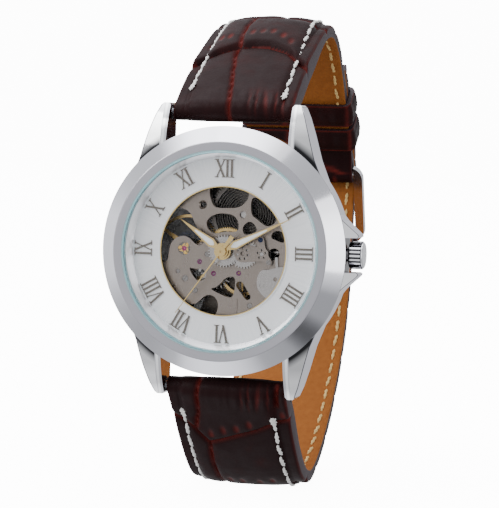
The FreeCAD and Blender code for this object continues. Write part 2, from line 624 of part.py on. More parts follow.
def motion_work_cover():
    """Link-shaped cover that keeps the minute and setting wheels in place."""
    z0, z1 = 7.04, 7.18
    body = link([(*MINUTE_WHEEL, 1.4), (*SETTING_WHEEL, 1.12)], z0, z1)
    for foot in COVER_FEET:
        body = body.fuse(link([(*SETTING_WHEEL, 0.8), (*foot, 0.55)], z0, z1))
        body = body.fuse(cylinder(0.38, PLATE_TOP + 0.01, z1, foot))
    for foot in COVER_FEET:
        body = body.cut(cylinder(0.24, 6, 8, foot))
    for boss, count, r, hole in ((MINUTE_WHEEL, 7, 0.9, 0.2), (SETTING_WHEEL, 5, 0.66, 0.17)):
        for i in range(count):
            body = body.cut(cylinder(hole, 6.9, 8, polar(r, 90 + 360 * i / count, boss)))
    body = body.cut(cylinder(0.36, 6.9, 8, MINUTE_WHEEL)).cut(cylinder(0.34, 6.9, 8, SETTING_WHEEL))
    return body.removeSplitter()


def movement_screws():
    screws = [screw(at, 0.78, BRIDGE_TOP - 0.01, 1.86, 5.85)
              for at in BARREL_BRIDGE_POSTS + TRAIN_BRIDGE_POSTS + (COCK_POST,)]
    screws += [screw((x, y), r, 6.16, 6.38, 5.55, 0.2) for x, y, r in DIAL_SIDE_SCREWS]
    screws += [screw(at, 0.4, 7.19, 7.4, 5.65, 0.22) for at in COVER_FEET]
    screws.append(screw(CROWN_WHEEL, 1.35, WINDING_WHEELS[0] - 0.02, 1.45, 2.75))
    screws.append(screw(BARREL, 0.8, WINDING_WHEELS[0] - 0.12, 1.32, 2.0, 0.25))
    return screws


def flat_springs():
    """Spring plate over the setting lever and the yoke, and the strip that presses the click."""
    z0, z1 = 6.78, 6.98
    face = blob([(6.7, -2.75), (8.2, -2.5), (9.6, -2.2), (11.4, -2.9), (11.5, -5.0), (9.9, -7.3),
                 (7.8, -7.5), (6.0, -6.3), (5.5, -4.9)])
    body = slab(face, z0, z1).cut(cylinder(0.37, 6, 8, LEVER_PIVOT))
    body = body.cut(cylinder(0.33, 6, 8, YOKE_PIVOT))
    for x, y in JUMPER_SCREWS:
        body = body.fuse(cylinder(0.5, PLATE_TOP + 0.01, z1, (x, y)))
        body = body.cut(ring(0.42, 0.3, z1 - 0.1, z1 + 1, (x, y)))
    strip_z = WINDING_WHEELS[0] + 0.1, WINDING_WHEELS[1] + 0.04
    strip = link([(-3.6, 9.9, 0.45), (-3.75, 8.6, 0.12), (-3.25, 7.35, 0.1)], *strip_z)
    return [body.removeSplitter(), strip]


# ---- energy and wheel train ---------------------------------------------------------------
def barrel_drum():
    body = gear(BARREL_TEETH, BARREL_MODULE, 4.15, 4.55, BARREL)
    body = body.fuse(cylinder(5.35, 3.2, 4.55, BARREL))
    body = body.cut(cylinder(5.05, 3.36, 5, BARREL))
    return body.cut(cylinder(0.5 + FIT, 3, 4, BARREL)).removeSplitter()


def mainspring():
    return spiral(1.24, 4.84, 9, 0.15, 3.42, 4.45, BARREL)


def barrel_arbor():
    body = cylinder(0.5, WINDING_WHEELS[0] - 0.1, 5.9, BARREL)
    body = body.fuse(cylinder(1.2, 3.4, 4.5, BARREL))
    return body.cut(cylinder(0.27, 0, 2.05, BARREL))


def ratchet_wheel():
    z0, z1 = WINDING_WHEELS
    return gear(RATCHET_TEETH, WINDING_MODULE, z0, z1, BARREL).cut(cylinder(0.51, 0, 9, BARREL))


def crown_wheel():
    z0, z1 = WINDING_WHEELS
    phase = 0.5 * 360 / CROWN_WHEEL_TEETH
    return gear(CROWN_WHEEL_TEETH, WINDING_MODULE, z0, z1 - 0.05, CROWN_WHEEL, phase).cut(
        cylinder(1.0 + FIT, 0, 9, CROWN_WHEEL))


def ratchet_phase():
    return meshing_phase(CROWN_WHEEL_TEETH, CROWN_WHEEL, 0.5 * 360 / CROWN_WHEEL_TEETH,
                         RATCHET_TEETH, BARREL)


def ratchet_wheel_in_mesh():
    body = ratchet_wheel()
    body.rotate(Vector(*BARREL, 0), Vector(0, 0, 1), ratchet_phase())
    return body


def click():
    z0, z1 = WINDING_WHEELS
    tip = polar(CLICK_TIP_R, 166, BARREL)
    body = link([(*CLICK, 0.6), (*tip, 0.16)], z0 + 0.03, z1)
    return body.cut(cylinder(0.28 + FIT, 0, 9, CLICK))


def centre_wheel():
    pinion_phase = meshing_phase(BARREL_TEETH, BARREL, 0, CENTRE_PINION_TEETH, CENTRE)
    body = gear(CENTRE_TEETH, CENTRE_MODULE, 4.7, 4.92)
    body = crossed_out(body, 0.95, 3.2, 5, 0.34, 4.7, 4.92, CENTRE)
    body = body.fuse(gear(CENTRE_PINION_TEETH, BARREL_MODULE, 4.1, 4.6, CENTRE, pinion_phase))
    body = body.fuse(cylinder(0.42, 3.98, 8.3)).fuse(cylinder(0.62, 4.55, 4.96))
    return body.cut(cylinder(0.24, 3, 9)).removeSplitter()


def cannon_pinion():
    body = gear(CANNON_TEETH, MOTION_MODULE, 6.45, 6.7).fuse(cylinder(0.6, 6.43, 8.62))
    return body.cut(cylinder(0.44, 6, 9)).removeSplitter()


def third_wheel():
    pinion_phase = meshing_phase(CENTRE_TEETH, CENTRE, 0, THIRD_PINION_TEETH, THIRD)
    body = gear(THIRD_TEETH, THIRD_MODULE, 3.55, 3.75, THIRD)
    body = crossed_out(body, 0.9, 3.25, 4, 0.32, 3.55, 3.75, THIRD)
    body = body.fuse(gear(THIRD_PINION_TEETH, CENTRE_MODULE, 4.62, 4.97, THIRD, pinion_phase))
    body = body.fuse(cylinder(0.22, 2.95, 5.6, THIRD))
    return body.fuse(cylinder(0.1, 2.35, 6.2, THIRD)).removeSplitter()


def fourth_wheel():
    pinion_phase = meshing_phase(THIRD_TEETH, THIRD, 0, FOURTH_PINION_TEETH, CENTRE)
    body = gear(FOURTH_TEETH, FOURTH_MODULE, 3.0, 3.12)
    body = crossed_out(body, 0.8, 3.2, 4, 0.3, 3.0, 3.12, CENTRE)
    body = body.fuse(gear(FOURTH_PINION_TEETH, THIRD_MODULE, 3.45, 3.85, CENTRE, pinion_phase))
    return body.fuse(cylinder(0.18, 2.35, 8.95)).removeSplitter()


def escape_wheel():
    """Wheel with hooked teeth and the pinion that the fourth wheel drives."""
    step, phase, z0, z1 = 360 / ESCAPE_TEETH, 4.0, 4.4, 4.58
    points = []
    for i in range(ESCAPE_TEETH):
        angle = phase + i * step
        points += [polar(2.0, angle - 5, ESCAPE), polar(ESCAPE_TIP_R, angle - 1.2, ESCAPE),
                   polar(ESCAPE_TIP_R - 0.05, angle + 1.2, ESCAPE), polar(2.25, angle + 0.2, ESCAPE),
                   polar(2.0, angle + 3, ESCAPE)]
    body = crossed_out(slab(polygon(points), z0, z1), 0.5, 1.7, 4, 0.22, z0, z1, ESCAPE)
    pinion_phase = meshing_phase(FOURTH_TEETH, CENTRE, 0, ESCAPE_PINION_TEETH, ESCAPE)
    body = body.fuse(gear(ESCAPE_PINION_TEETH, FOURTH_MODULE, 2.94, 3.3, ESCAPE, pinion_phase))
    body = body.fuse(cylinder(0.2, 2.94, 5.6, ESCAPE))
    return body.fuse(cylinder(0.1, 2.35, 6.2, ESCAPE)).removeSplitter()


def heading(a, b):
    return math.degrees(math.atan2(b[1] - a[1], b[0] - a[0]))


def pallet_fork():
    """Steel lever: a forked tail at the balance, and two arms that hold the pallet stones."""
    z0, z1 = 4.4, 4.58
    to_escape, to_balance = heading(ESCAPE, PALLET), heading(PALLET, BALANCE)
    stones = [polar(ESCAPE_TIP_R + 0.2, to_escape + side, ESCAPE) for side in (31.5, -31.5)]
    body = link([(*stones[0], 0.2), (*PALLET, 0.4), (*stones[1], 0.2)], z0, z1)
    tail_end = polar(2.62, to_balance, PALLET)
    body = body.fuse(link([(*PALLET, 0.3), (*tail_end, 0.2)], z0, z1))
    for side in (1, -1):
        horn = polar(2.98, to_balance + 4.6 * side, PALLET)
        body = body.fuse(link([(*tail_end, 0.18), (*horn, 0.1)], z0, z1))
    staff = cylinder(0.14, 4.0, 6.0, PALLET).fuse(cylinder(0.1, 3.9, 6.15, PALLET))
    return body.fuse(staff).removeSplitter()


def balance_wheel():
    body = cylinder(5.4, 3.3, 3.78, BALANCE).cut(cylinder(4.95, 3, 5, BALANCE))
    for angle in (25, 145, 265):
        body = body.fuse(link([(*BALANCE, 0.5), (*polar(5.15, angle, BALANCE), 0.22)], 3.42, 3.62))
    return body.cut(cylinder(0.31, 3, 5, BALANCE)).removeSplitter()


def balance_staff():
    """Staff with the roller and the impulse pin that works in the fork."""
    towards_pallet = heading(BALANCE, PALLET)
    body = cylinder(0.3, 2.98, 5.0, BALANCE).fuse(cylinder(0.09, 2.45, 6.1, BALANCE))
    body = body.fuse(cylinder(0.6, 4.14, 4.3, BALANCE))
    pin = cylinder(0.06, 4.25, 4.6, polar(0.46, towards_pallet, BALANCE))
    return body.fuse(pin).removeSplitter()


def hairspring():
    return spiral(0.5, 2.68, 9, 0.05, 3.0, 3.14, BALANCE, -72)


def minute_wheel():
    wheel_phase = meshing_phase(CANNON_TEETH, CENTRE, 0, MINUTE_TEETH, MINUTE_WHEEL)
    body = gear(MINUTE_TEETH, MOTION_MODULE, 6.45, 6.7, MINUTE_WHEEL, wheel_phase)
    body = body.fuse(gear(MINUTE_PINION_TEETH, MOTION_MODULE, 6.7, 7.01, MINUTE_WHEEL))
    return body.cut(cylinder(0.3 + FIT, 6, 8, MINUTE_WHEEL)).removeSplitter()


def hour_wheel():
    phase = meshing_phase(MINUTE_PINION_TEETH, MINUTE_WHEEL, 0, HOUR_TEETH, CENTRE)
    body = gear(HOUR_TEETH, MOTION_MODULE, 6.78, 7.0, CENTRE, phase)
    body = body.fuse(cylinder(0.95, 6.78, 8.12))
    return body.cut(cylinder(0.6 + FIT, 6, 9)).removeSplitter()


def setting_wheel():
    """Upper teeth meet the minute wheel, lower teeth the clutch when the crown is pulled."""
    wheel_phase = meshing_phase(CANNON_TEETH, CENTRE, 0, MINUTE_TEETH, MINUTE_WHEEL)
    phase = meshing_phase(MINUTE_TEETH, MINUTE_WHEEL, wheel_phase, SETTING_TEETH, SETTING_WHEEL)
    body = gear(SETTING_TEETH, MOTION_MODULE, 6.45, 6.68, SETTING_WHEEL, phase)
    body = body.fuse(gear(SETTING_TEETH, MOTION_MODULE, 4.72, 4.97, SETTING_WHEEL, phase))
    return body.fuse(cylinder(0.3, 4.72, 7.1, SETTING_WHEEL)).removeSplitter()


# ---- winding and setting ------------------------------------------------------------------
def crown():
    """Fluted knob with a smooth cap, hollow where it covers the tube."""
    root_r, cap_r = CROWN_R - 0.22, CROWN_R - 0.15
    outline = []
    for i in range(CROWN_FLUTES):
        for r, share in ((root_r, -0.24), (CROWN_R, -0.14), (CROWN_R, 0.34), (root_r, 0.44)):
            outline.append(polar(r, (i + share) * 360 / CROWN_FLUTES))
    body = slab(polygon(outline), CROWN_FROM, CROWN_FLUTES_TO)
    body = body.common(turned([(0, CROWN_FROM), (CROWN_R - 0.2, CROWN_FROM),
                               (CROWN_R + 0.1, CROWN_FROM + 0.3), (CROWN_R + 0.1, CROWN_TO),
                               (0, CROWN_TO)]))
    body = body.fuse(turned([(0, CROWN_FLUTES_TO), (cap_r - 0.1, CROWN_FLUTES_TO),
                             (cap_r, CROWN_FLUTES_TO + 0.07), (cap_r, CROWN_FLUTES_TO + 0.16),
                             (cap_r - 0.12, CROWN_TO - 0.04), (cap_r - 0.4, CROWN_TO),
                             (0, CROWN_TO)]))
    body = body.cut(cylinder(CROWN_BORE_R, CROWN_FROM - 1, CROWN_BORE_TO))
    return along_x(body.cut(cylinder(STEM_R, CROWN_FROM, STEM_END + 0.02)).removeSplitter())


def winding_stem():
    body = cylinder(STEM_R, 7.55, STEM_END)
    groove = ring(2, 0.3, STEM_GROOVE - 0.25, STEM_GROOVE + 0.25)
    return along_x(body.cut(groove))


def winding_pinion():
    phase = 0.0
    body = gear(WINDING_PINION_TEETH, WINDING_MODULE, PINION_FROM, PINION_TO, CENTRE, phase)
    return along_x(body.cut(cylinder(STEM_R + FIT, 9, 11)))


def clutch():
    """Sliding pinion: a groove for the yoke, and face teeth towards the setting wheel."""
    body = cylinder(0.92, CLUTCH_FROM + 0.2, CLUTCH_TO)
    body = body.fuse(gear(12, 0.14, CLUTCH_FROM, CLUTCH_FROM + 0.25))
    body = body.cut(ring(2, 0.73, CLUTCH_GROOVE - 0.16, CLUTCH_GROOVE + 0.16))
    return along_x(body.cut(cylinder(STEM_R + FIT, 7, 10)))


def setting_lever():
    z0, z1 = 6.45, 6.7
    body = link([(*LEVER_PIVOT, 0.75), (STEM_GROOVE, -0.5, 0.32)], z0, z1)
    body = body.fuse(link([(*LEVER_PIVOT, 0.6), (9.95, -4.9, 0.3)], z0, z1))
    body = body.fuse(cylinder(0.17, STEM_HEIGHT, z1, (STEM_GROOVE, -0.5)))
    return body.cut(cylinder(0.34 + FIT, 6, 8, LEVER_PIVOT)).removeSplitter()


def yoke():
    z0, z1 = 6.45, 6.7
    body = link([(*YOKE_PIVOT, 0.62), (8.7, -2.4, 0.2), (CLUTCH_GROOVE, -0.9, 0.22)], z0, z1)
    body = body.fuse(link([(*YOKE_PIVOT, 0.5), (7.3, -5.1, 0.25)], z0, z1))
    body = body.fuse(cylinder(0.12, STEM_HEIGHT + 0.1, z1, (CLUTCH_GROOVE, -0.9)))
    return body.cut(cylinder(0.3 + FIT, 6, 8, YOKE_PIVOT)).removeSplitter()


# ---- strap and buckle, in the object's own frame ------------------------------------------
TOP_BAR = (-BAR_HEIGHT, BAR_Y)
BOTTOM_BAR = (-BAR_HEIGHT, -BAR_Y)
FOLD_R = 1.5             # leather round a bar

# Outer surface of each half, as (y, z), from the lug to the free end.
TOP_ROUTE = [(-3.35, 23.6), (1.2, 26.9), (8.6, 31.2), (14.5, 34.2), (21.0, 36.9), (28.0, 37.7),
             (34.0, 34.9), KEEPER_LINE_END, (42.7, 24.75), KEEPER_LINE_START, (48.75, 16.0),
             (50.12, 12.65)]
BOTTOM_ROUTE = [(-3.66, -23.36), (-0.7, -26.5), (3.0, -30.6), (7.4, -35.0), (12.6, -38.6),
                (18.0, -39.7), (24.2, -37.9), (34.6, -30.9), (43.8, -20.8), (48.9, -10.9),
                (50.5, -3.6), (50.75, 1.2), (51.7, 7.0), (52.3, 12.2), (51.0, 16.9), (48.5, 20.85),
                (44.55, 26.1), (40.4, 31.7)]


def top_thickness(share):
    """Thickness at a share of the way along the 12 o'clock half."""
    return profile_at(share, [(0, 3.0), (0.10, 3.6), (0.20, 3.3), (0.42, 2.2), (0.94, 2.2), (1, 3.0)])


def bottom_thickness(share):
    return profile_at(share, [(0, 3.0), (0.06, 3.5), (0.14, 3.0), (0.26, 2.1), (1, 2.0)])


def profile_at(share, table):
    for (s0, t0), (s1, t1) in zip(table, table[1:]):
        if share <= s1:
            blend = (share - s0) / (s1 - s0)
            blend = blend * blend * (3 - 2 * blend)
            return t0 + (t1 - t0) * blend
    return table[-1][1]


def side_of(route, depth_at, inward):
    """Smooth curve at a depth below the outer surface; depth_at takes the share of the way."""
    curve = Part.BSplineCurve()
    curve.interpolate([Vector(0, y, z) for y, z in route])
    first, last = curve.FirstParameter, curve.LastParameter
    stations, points = 40, []
    for i in range(stations + 1):
        share = i / stations
        at = first + (last - first) * share
        point, tangent = curve.value(at), curve.tangent(at)[0]
        normal = Vector(0, -tangent.z, tangent.y) * inward
        points.append(point + normal * depth_at(share))
    offset = Part.BSplineCurve()
    offset.interpolate(points)
    return offset.toShape()


def band(route, depth_from, depth_to, inward):
    """Layer of the strap between two depths, over the whole width, tapered towards the back."""
    near, far = side_of(route, depth_from, inward), side_of(route, depth_to, inward)
    ends = [Part.makeLine(near.Vertexes[i].Point, far.Vertexes[i].Point) for i in (0, 1)]
    face = Part.Face(Part.Wire(Part.__sortEdges__([near, far] + ends)))
    layer = face.translated(Vector(-12, 0, 0)).extrude(Vector(24, 0, 0))
    return layer.common(width_limit())


def width_limit():
    """Wedge that narrows the strap from the lugs to the buckle."""
    def half_width(y):
        return STRAP_HALF_WIDTH - (y + 2) * STRAP_TAPER

    front, back = -8, 60
    plan = polygon([(-half_width(front), front), (half_width(front), front),
                    (half_width(back), back), (-half_width(back), back)])
    return slab(plan, -60, 60)


def rod_x(r, half_length, at):
    """Round bar across the strap at (y, z)."""
    return Part.makeCylinder(r, 2 * half_length, Vector(-half_length, at[0], at[1]),
                             Vector(1, 0, 0))


def strap_top_outer():
    body = band(TOP_ROUTE, lambda s: 0.0, lambda s: top_thickness(s) - LINING, -1)
    body = body.fuse(rod_x(FOLD_R, 20, TOP_BAR).common(width_limit()))
    body = body.fuse(rod_x(FOLD_R, 20, BUCKLE_BAR).common(width_limit()))
    body = body.cut(rod_x(BAR_R + 0.1, 20, TOP_BAR)).cut(rod_x(BAR_R + 0.1, 20, BUCKLE_BAR))
    notch = box(-1.3, 1.3, BUCKLE_BAR[0] - 3, BUCKLE_BAR[0] + 3, BUCKLE_BAR[1] - 3,
                BUCKLE_BAR[1] + 2.4)
    return body.cut(notch).removeSplitter()


def strap_top_lining():
    body = band(TOP_ROUTE, lambda s: top_thickness(s) - LINING + 0.03, top_thickness, -1)
    for at in (TOP_BAR, BUCKLE_BAR):
        body = body.cut(rod_x(FOLD_R + 0.03, 20, at))
    beyond = box(-20, 20, BUCKLE_BAR[0] - 4, BUCKLE_BAR[0] + 4, BUCKLE_BAR[1] - 6,
                 BUCKLE_BAR[1] + 2.6)
    body = body.cut(beyond).cut(rod_x(3.2, 20, (TOP_BAR[0] - 1.2, TOP_BAR[1] - 1.6)))
    return biggest(body)


def biggest(shape):
    return max(shape.Solids, key=lambda s: s.Volume)


def tongue_slot():
    """Opening that the buckle's tongue passes through."""
    return box(-1.35, 1.35, 48, 56, 4.8, 11.0)


def strap_bottom_outer():
    body = band(BOTTOM_ROUTE, lambda s: 0.0, lambda s: bottom_thickness(s) - LINING, 1)
    body = body.fuse(rod_x(FOLD_R, 20, BOTTOM_BAR).common(width_limit()))
    return body.cut(rod_x(BAR_R + 0.1, 20, BOTTOM_BAR)).cut(tongue_slot()).removeSplitter()


def strap_bottom_lining():
    body = band(BOTTOM_ROUTE, lambda s: bottom_thickness(s) - LINING + 0.03, bottom_thickness, 1)
    body = body.cut(rod_x(FOLD_R + 0.03, 20, BOTTOM_BAR)).cut(tongue_slot())
    body = body.cut(rod_x(3.2, 20, (BOTTOM_BAR[0] - 1.2, BOTTOM_BAR[1] + 1.6)))
    return biggest(body)


def rounded_rectangle(x0, x1, y0, y1, r):
    """Face with four round corners."""
    plain = box(x0, x1, y0, y1, 0, 1)
    edges = [e for e in plain.Edges if abs(e.Vertexes[0].Z - e.Vertexes[1].Z) > 0.5]
    solid = plain.makeFillet(r, edges)
    return min(solid.Faces, key=lambda f: f.CenterOfMass.z)


def on_buckle(shape):
    """Move a piece drawn about the buckle's bar, with y up the strap and z inwards."""
    return moved(shape, Vector(0, *BUCKLE_BAR), Vector(1, 0, 0), BUCKLE_TURN)


def buckle_frame():
    """The frame, and the bar that is pinned in its ends and turns in the leather's fold."""
    outer = slab(rounded_rectangle(-11.1, 11.1, -BUCKLE_LENGTH - 1.3, 1.5, 2.4), -0.8, 0.8)
    inner = slab(rounded_rectangle(-9.5, 9.5, -BUCKLE_LENGTH + 0.75, 4.5, 1.2), -2, 2)
    body = outer.cut(inner)
    body = body.cut(Part.makeCylinder(0.42, 24, Vector(-12, 0, 0), Vector(1, 0, 0)))
    bar = rod_x(BAR_R, 9.35, BUCKLE_BAR).fuse(rod_x(0.38, 10.7, BUCKLE_BAR))
    return [on_buckle(body), bar]


def buckle_tongue():
    eye = Part.makeCylinder(1.3, 1.9, Vector(-0.95, 0, 0), Vector(1, 0, 0))
    side = Part.Face(Part.makePolygon([Vector(-0.8, y, z) for y, z in (
        (0, 0.3), (-3.2, 0.1), (-7.5, -0.85), (-BUCKLE_LENGTH - 1.5, -0.95),
        (-BUCKLE_LENGTH - 1.7, -1.2), (-BUCKLE_LENGTH - 1.4, -1.75), (-7.4, -1.95), (-2.8, -1.1),
        (0, -1.1), (0, 0.3))])).extrude(Vector(1.6, 0, 0))
    bore = Part.makeCylinder(BAR_R + FIT, 4, Vector(-2, 0, 0), Vector(1, 0, 0))
    return on_buckle(eye.fuse(side).cut(bore).removeSplitter())


def keeper_turn():
    (y0, z0), (y1, z1) = KEEPER_LINE_START, KEEPER_LINE_END
    return math.degrees(math.atan2(z1 - z0, y1 - y0))


def keeper(distance):
    """Leather loop round both halves, its middle this far along the straight run."""
    wall, gap, tail, short = 0.9, 0.2, 2.3, 2.2
    outer = rounded_rectangle(-10.4, 10.4, -tail - gap - wall, short + gap + wall, 1.3)
    inner = rounded_rectangle(-9.5, 9.5, -tail - gap, short + gap, 0.15)
    body = slab(outer, -KEEPER_LENGTH / 2, KEEPER_LENGTH / 2).cut(slab(inner, -9, 9))
    # Drawn with z along the strap; laid so that y runs along it and z points inwards.
    body = moved(body, Vector(0, distance, 0), Vector(1, 0, 0), -90)
    return moved(body, Vector(0, *KEEPER_LINE_START), Vector(1, 0, 0), keeper_turn())


def keeper_fixed():
    return keeper(0.6)


def keeper_free():
    return keeper(5.9)


# ---- write one file per piece -------------------------------------------------------------
HEAD_PIECES = {
    "case_middle": case_middle, "bezel": bezel, "crystal": crystal,
    "crystal_gasket": crystal_gasket, "rehaut_ring": rehaut_ring, "case_back": case_back,
    "case_back_glass": case_back_glass, "movement_ring": movement_ring, "crown_tube": crown_tube,
    "lug_spring_bars": lug_spring_bars, "dial": dial, "aperture_ring": aperture_ring,
    "hour_markers": hour_markers, "hour_hand": hour_hand, "hour_hand_lume": hour_hand_lume,
    "minute_hand": minute_hand, "minute_hand_lume": minute_hand_lume, "second_hand": second_hand,
    "main_plate": main_plate, "barrel_bridge": barrel_bridge, "train_bridge": train_bridge,
    "balance_cock": balance_cock, "pallet_bridge": pallet_bridge, "train_jewels": train_jewels,
    "shock_settings": shock_settings, "motion_work_cover": motion_work_cover,
    "movement_screws": movement_screws, "flat_springs": flat_springs,
    "barrel_drum": barrel_drum, "mainspring": mainspring, "barrel_arbor": barrel_arbor,
    "ratchet_wheel": ratchet_wheel_in_mesh, "crown_wheel": crown_wheel, "click": click,
    "centre_wheel": centre_wheel, "cannon_pinion": cannon_pinion,
    "third_wheel": third_wheel, "fourth_wheel": fourth_wheel, "escape_wheel": escape_wheel,
    "pallet_fork": pallet_fork, "balance_wheel": balance_wheel,
    "balance_staff": balance_staff, "hairspring": hairspring, "minute_wheel": minute_wheel,
    "hour_wheel": hour_wheel, "setting_wheel": setting_wheel, "crown": crown,
    "winding_stem": winding_stem, "winding_pinion": winding_pinion, "clutch": clutch,
    "setting_lever": setting_lever, "yoke": yoke,
}
STRAP_PIECES = {
    "strap_top_outer": strap_top_outer, "strap_top_lining": strap_top_lining,
    "strap_bottom_outer": strap_bottom_outer, "strap_bottom_lining": strap_bottom_lining,
    "keeper_fixed": keeper_fixed, "keeper_free": keeper_free, "buckle_frame": buckle_frame,
    "buckle_tongue": buckle_tongue,
}


def save(name, made, upright):
    solids = made if isinstance(made, list) else made.Solids
    whole = Part.makeCompound(solids) if len(solids) > 1 else solids[0]
    if upright:
        whole.rotate(Vector(0, 0, 0), Vector(1, 0, 0), 90)
    if not whole.isValid():
        print("not valid:", name)
    whole.exportStep("parts/" + name + ".step")
    box_ = whole.BoundBox
    print(f"{name:20s} solids {len(solids):3d} volume {whole.Volume:9.3f} "
          f"x {box_.XMin:7.2f} {box_.XMax:7.2f} y {box_.YMin:7.2f} {box_.YMax:7.2f} "
          f"z {box_.ZMin:7.2f} {box_.ZMax:7.2f}")


os.makedirs("parts", exist_ok=True)
for piece_name, make in HEAD_PIECES.items():
    save(piece_name, make(), True)
for piece_name, make in STRAP_PIECES.items():
    save(piece_name, make(), False)
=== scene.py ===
import math

import bpy
import numpy as np
from mathutils import Matrix, Vector


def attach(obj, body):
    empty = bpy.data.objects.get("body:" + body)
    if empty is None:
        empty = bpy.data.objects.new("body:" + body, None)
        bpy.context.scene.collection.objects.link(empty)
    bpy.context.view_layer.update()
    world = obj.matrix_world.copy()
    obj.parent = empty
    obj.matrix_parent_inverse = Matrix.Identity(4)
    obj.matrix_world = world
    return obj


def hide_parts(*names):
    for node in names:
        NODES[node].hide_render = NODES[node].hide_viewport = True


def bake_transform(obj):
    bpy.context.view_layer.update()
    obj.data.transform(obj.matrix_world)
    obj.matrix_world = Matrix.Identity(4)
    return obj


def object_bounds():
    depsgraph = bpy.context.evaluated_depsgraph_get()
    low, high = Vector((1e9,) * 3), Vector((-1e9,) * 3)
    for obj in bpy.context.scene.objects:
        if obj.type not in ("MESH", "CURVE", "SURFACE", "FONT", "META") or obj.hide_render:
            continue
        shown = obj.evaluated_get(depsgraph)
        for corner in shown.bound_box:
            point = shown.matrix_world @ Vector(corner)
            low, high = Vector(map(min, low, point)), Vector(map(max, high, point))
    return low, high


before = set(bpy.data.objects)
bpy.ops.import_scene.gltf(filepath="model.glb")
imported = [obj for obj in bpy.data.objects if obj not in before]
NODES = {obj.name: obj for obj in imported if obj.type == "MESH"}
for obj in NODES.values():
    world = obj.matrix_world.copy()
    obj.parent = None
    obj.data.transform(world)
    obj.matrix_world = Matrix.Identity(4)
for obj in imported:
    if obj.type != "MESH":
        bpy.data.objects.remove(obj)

CAD_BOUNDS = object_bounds()
MM = 0.001

# ---- the strap's lines, in millimetres, as (y, z) --------------------------------------------
TOP_ROUTE = [(-3.35, 23.6), (1.2, 26.9), (8.6, 31.2), (14.5, 34.2), (21.0, 36.9), (28.0, 37.7),
             (34.0, 34.9), (38.8, 30.0), (42.7, 24.75), (46.6, 19.5), (48.75, 16.0),
             (50.12, 12.65)]
BOTTOM_ROUTE = [(-3.66, -23.36), (-0.7, -26.5), (3.0, -30.6), (7.4, -35.0), (12.6, -38.6),
                (18.0, -39.7), (24.2, -37.9), (34.6, -30.9), (43.8, -20.8), (48.9, -10.9),
                (50.5, -3.6), (50.75, 1.2), (51.7, 7.0), (52.3, 12.2), (51.0, 16.9),
                (48.5, 20.85), (44.55, 26.1), (40.4, 31.7)]
TOP_BAR, BOTTOM_BAR, BUCKLE_BAR = (-2.6, 22.3), (-2.6, -22.3), (48.7, 12.2)
TOP_THICKNESS = [(0, 3.0), (0.10, 3.6), (0.20, 3.3), (0.42, 2.2), (0.94, 2.2), (1, 3.0)]
BOTTOM_THICKNESS = [(0, 3.0), (0.06, 3.5), (0.14, 3.0), (0.26, 2.1), (1, 2.0)]
LINING = 0.9
FOLD_R = 1.5
HALF_WIDTH_AT_LUGS, TAPER, LUG_Y = 9.85, 0.01, -2.0
FOLDED = 0.62                  # the leather is this thin where it goes round a bar
PRESSED_FROM, PRESSED_TO, PRESSED_HEIGHT = 77, 103, -0.28
END_BAR_FROM, END_BAR_TO = 79.5, 87.5   # where the buckle's end bar lies on the tail
HOLE_STEP, HOLE_R = 6.5, 0.85
STITCH_PITCH, STITCH_LENGTH, STITCH_R = 3.0, 2.7, 0.275
LINING_STITCH_LENGTH, LINING_STITCH_R, LINING_ROW = 2.4, 0.24, 8.0
KEEPER_START, KEEPER_END = (46.6, 19.5), (38.8, 30.0)
KEEPER_HALF, KEEPER_LOW, KEEPER_HIGH = 10.4, -3.4, 3.3
KEEPER_CORNER, KEEPER_WALL, KEEPER_WIDTH, KEEPER_GROOVE = 1.5, 0.9, 4.4, 0.75
LEFT_ROW, RIGHT_ROW = -7.75, 7.85   # the two rows of white stitching


# ---- materials -------------------------------------------------------------------------------
def material(name, color, rough=0.5, metallic=0.0, **sockets):
    m = bpy.data.materials.new(name)
    m.use_nodes = True
    bsdf = m.node_tree.nodes["Principled BSDF"]
    bsdf.inputs["Base Color"].default_value = (*color, 1)
    bsdf.inputs["Roughness"].default_value = rough
    bsdf.inputs["Metallic"].default_value = metallic
    for key, value in sockets.items():
        bsdf.inputs[key.replace("_", " ")].default_value = value
    return m, m.node_tree, bsdf


def node(tree, kind, inputs=None, **settings):
    n = tree.nodes.new(kind)
    for key, value in settings.items():
        setattr(n, key, value)
    for key, value in (inputs or {}).items():
        if isinstance(value, bpy.types.NodeSocket):
            tree.links.new(value, n.inputs[key])
        else:
            n.inputs[key].default_value = value
    return n


def maths(tree, operation, a, b=None, clamp=False):
    inputs = {0: a} if b is None else {0: a, 1: b}
    return node(tree, "ShaderNodeMath", inputs, operation=operation, use_clamp=clamp).outputs[0]


def noise(tree, scale, detail=3.0, rough=0.55, vector=None, stretch=None):
    where = vector or node(tree, "ShaderNodeTexCoord").outputs["Object"]
    if stretch:
        where = node(tree, "ShaderNodeVectorMath", {0: where, 1: stretch},
                     operation="MULTIPLY").outputs[0]
    return node(tree, "ShaderNodeTexNoise",
                {"Vector": where, "Scale": scale, "Detail": detail, "Roughness": rough}
                ).outputs["Fac"]


def ramp(tree, value, low, high, out_low, out_high):
    return node(tree, "ShaderNodeMapRange",
                {"Value": value, "From Min": low, "From Max": high, "To Min": out_low,
                 "To Max": out_high}).outputs[0]


def bump(tree, bsdf, height, strength, distance):
    n = node(tree, "ShaderNodeBump",
             {"Height": height, "Strength": strength, "Distance": distance})
    tree.links.new(n.outputs["Normal"], bsdf.inputs["Normal"])
    return n


def mixed(tree, factor, a, b):
    n = node(tree, "ShaderNodeMix", {"Factor": factor}, data_type="RGBA")
    for socket, value in ((n.inputs[6], a), (n.inputs[7], b)):
        if isinstance(value, bpy.types.NodeSocket):
            tree.links.new(value, socket)
        else:
            socket.default_value = (*value, 1)
    return n.outputs[2]


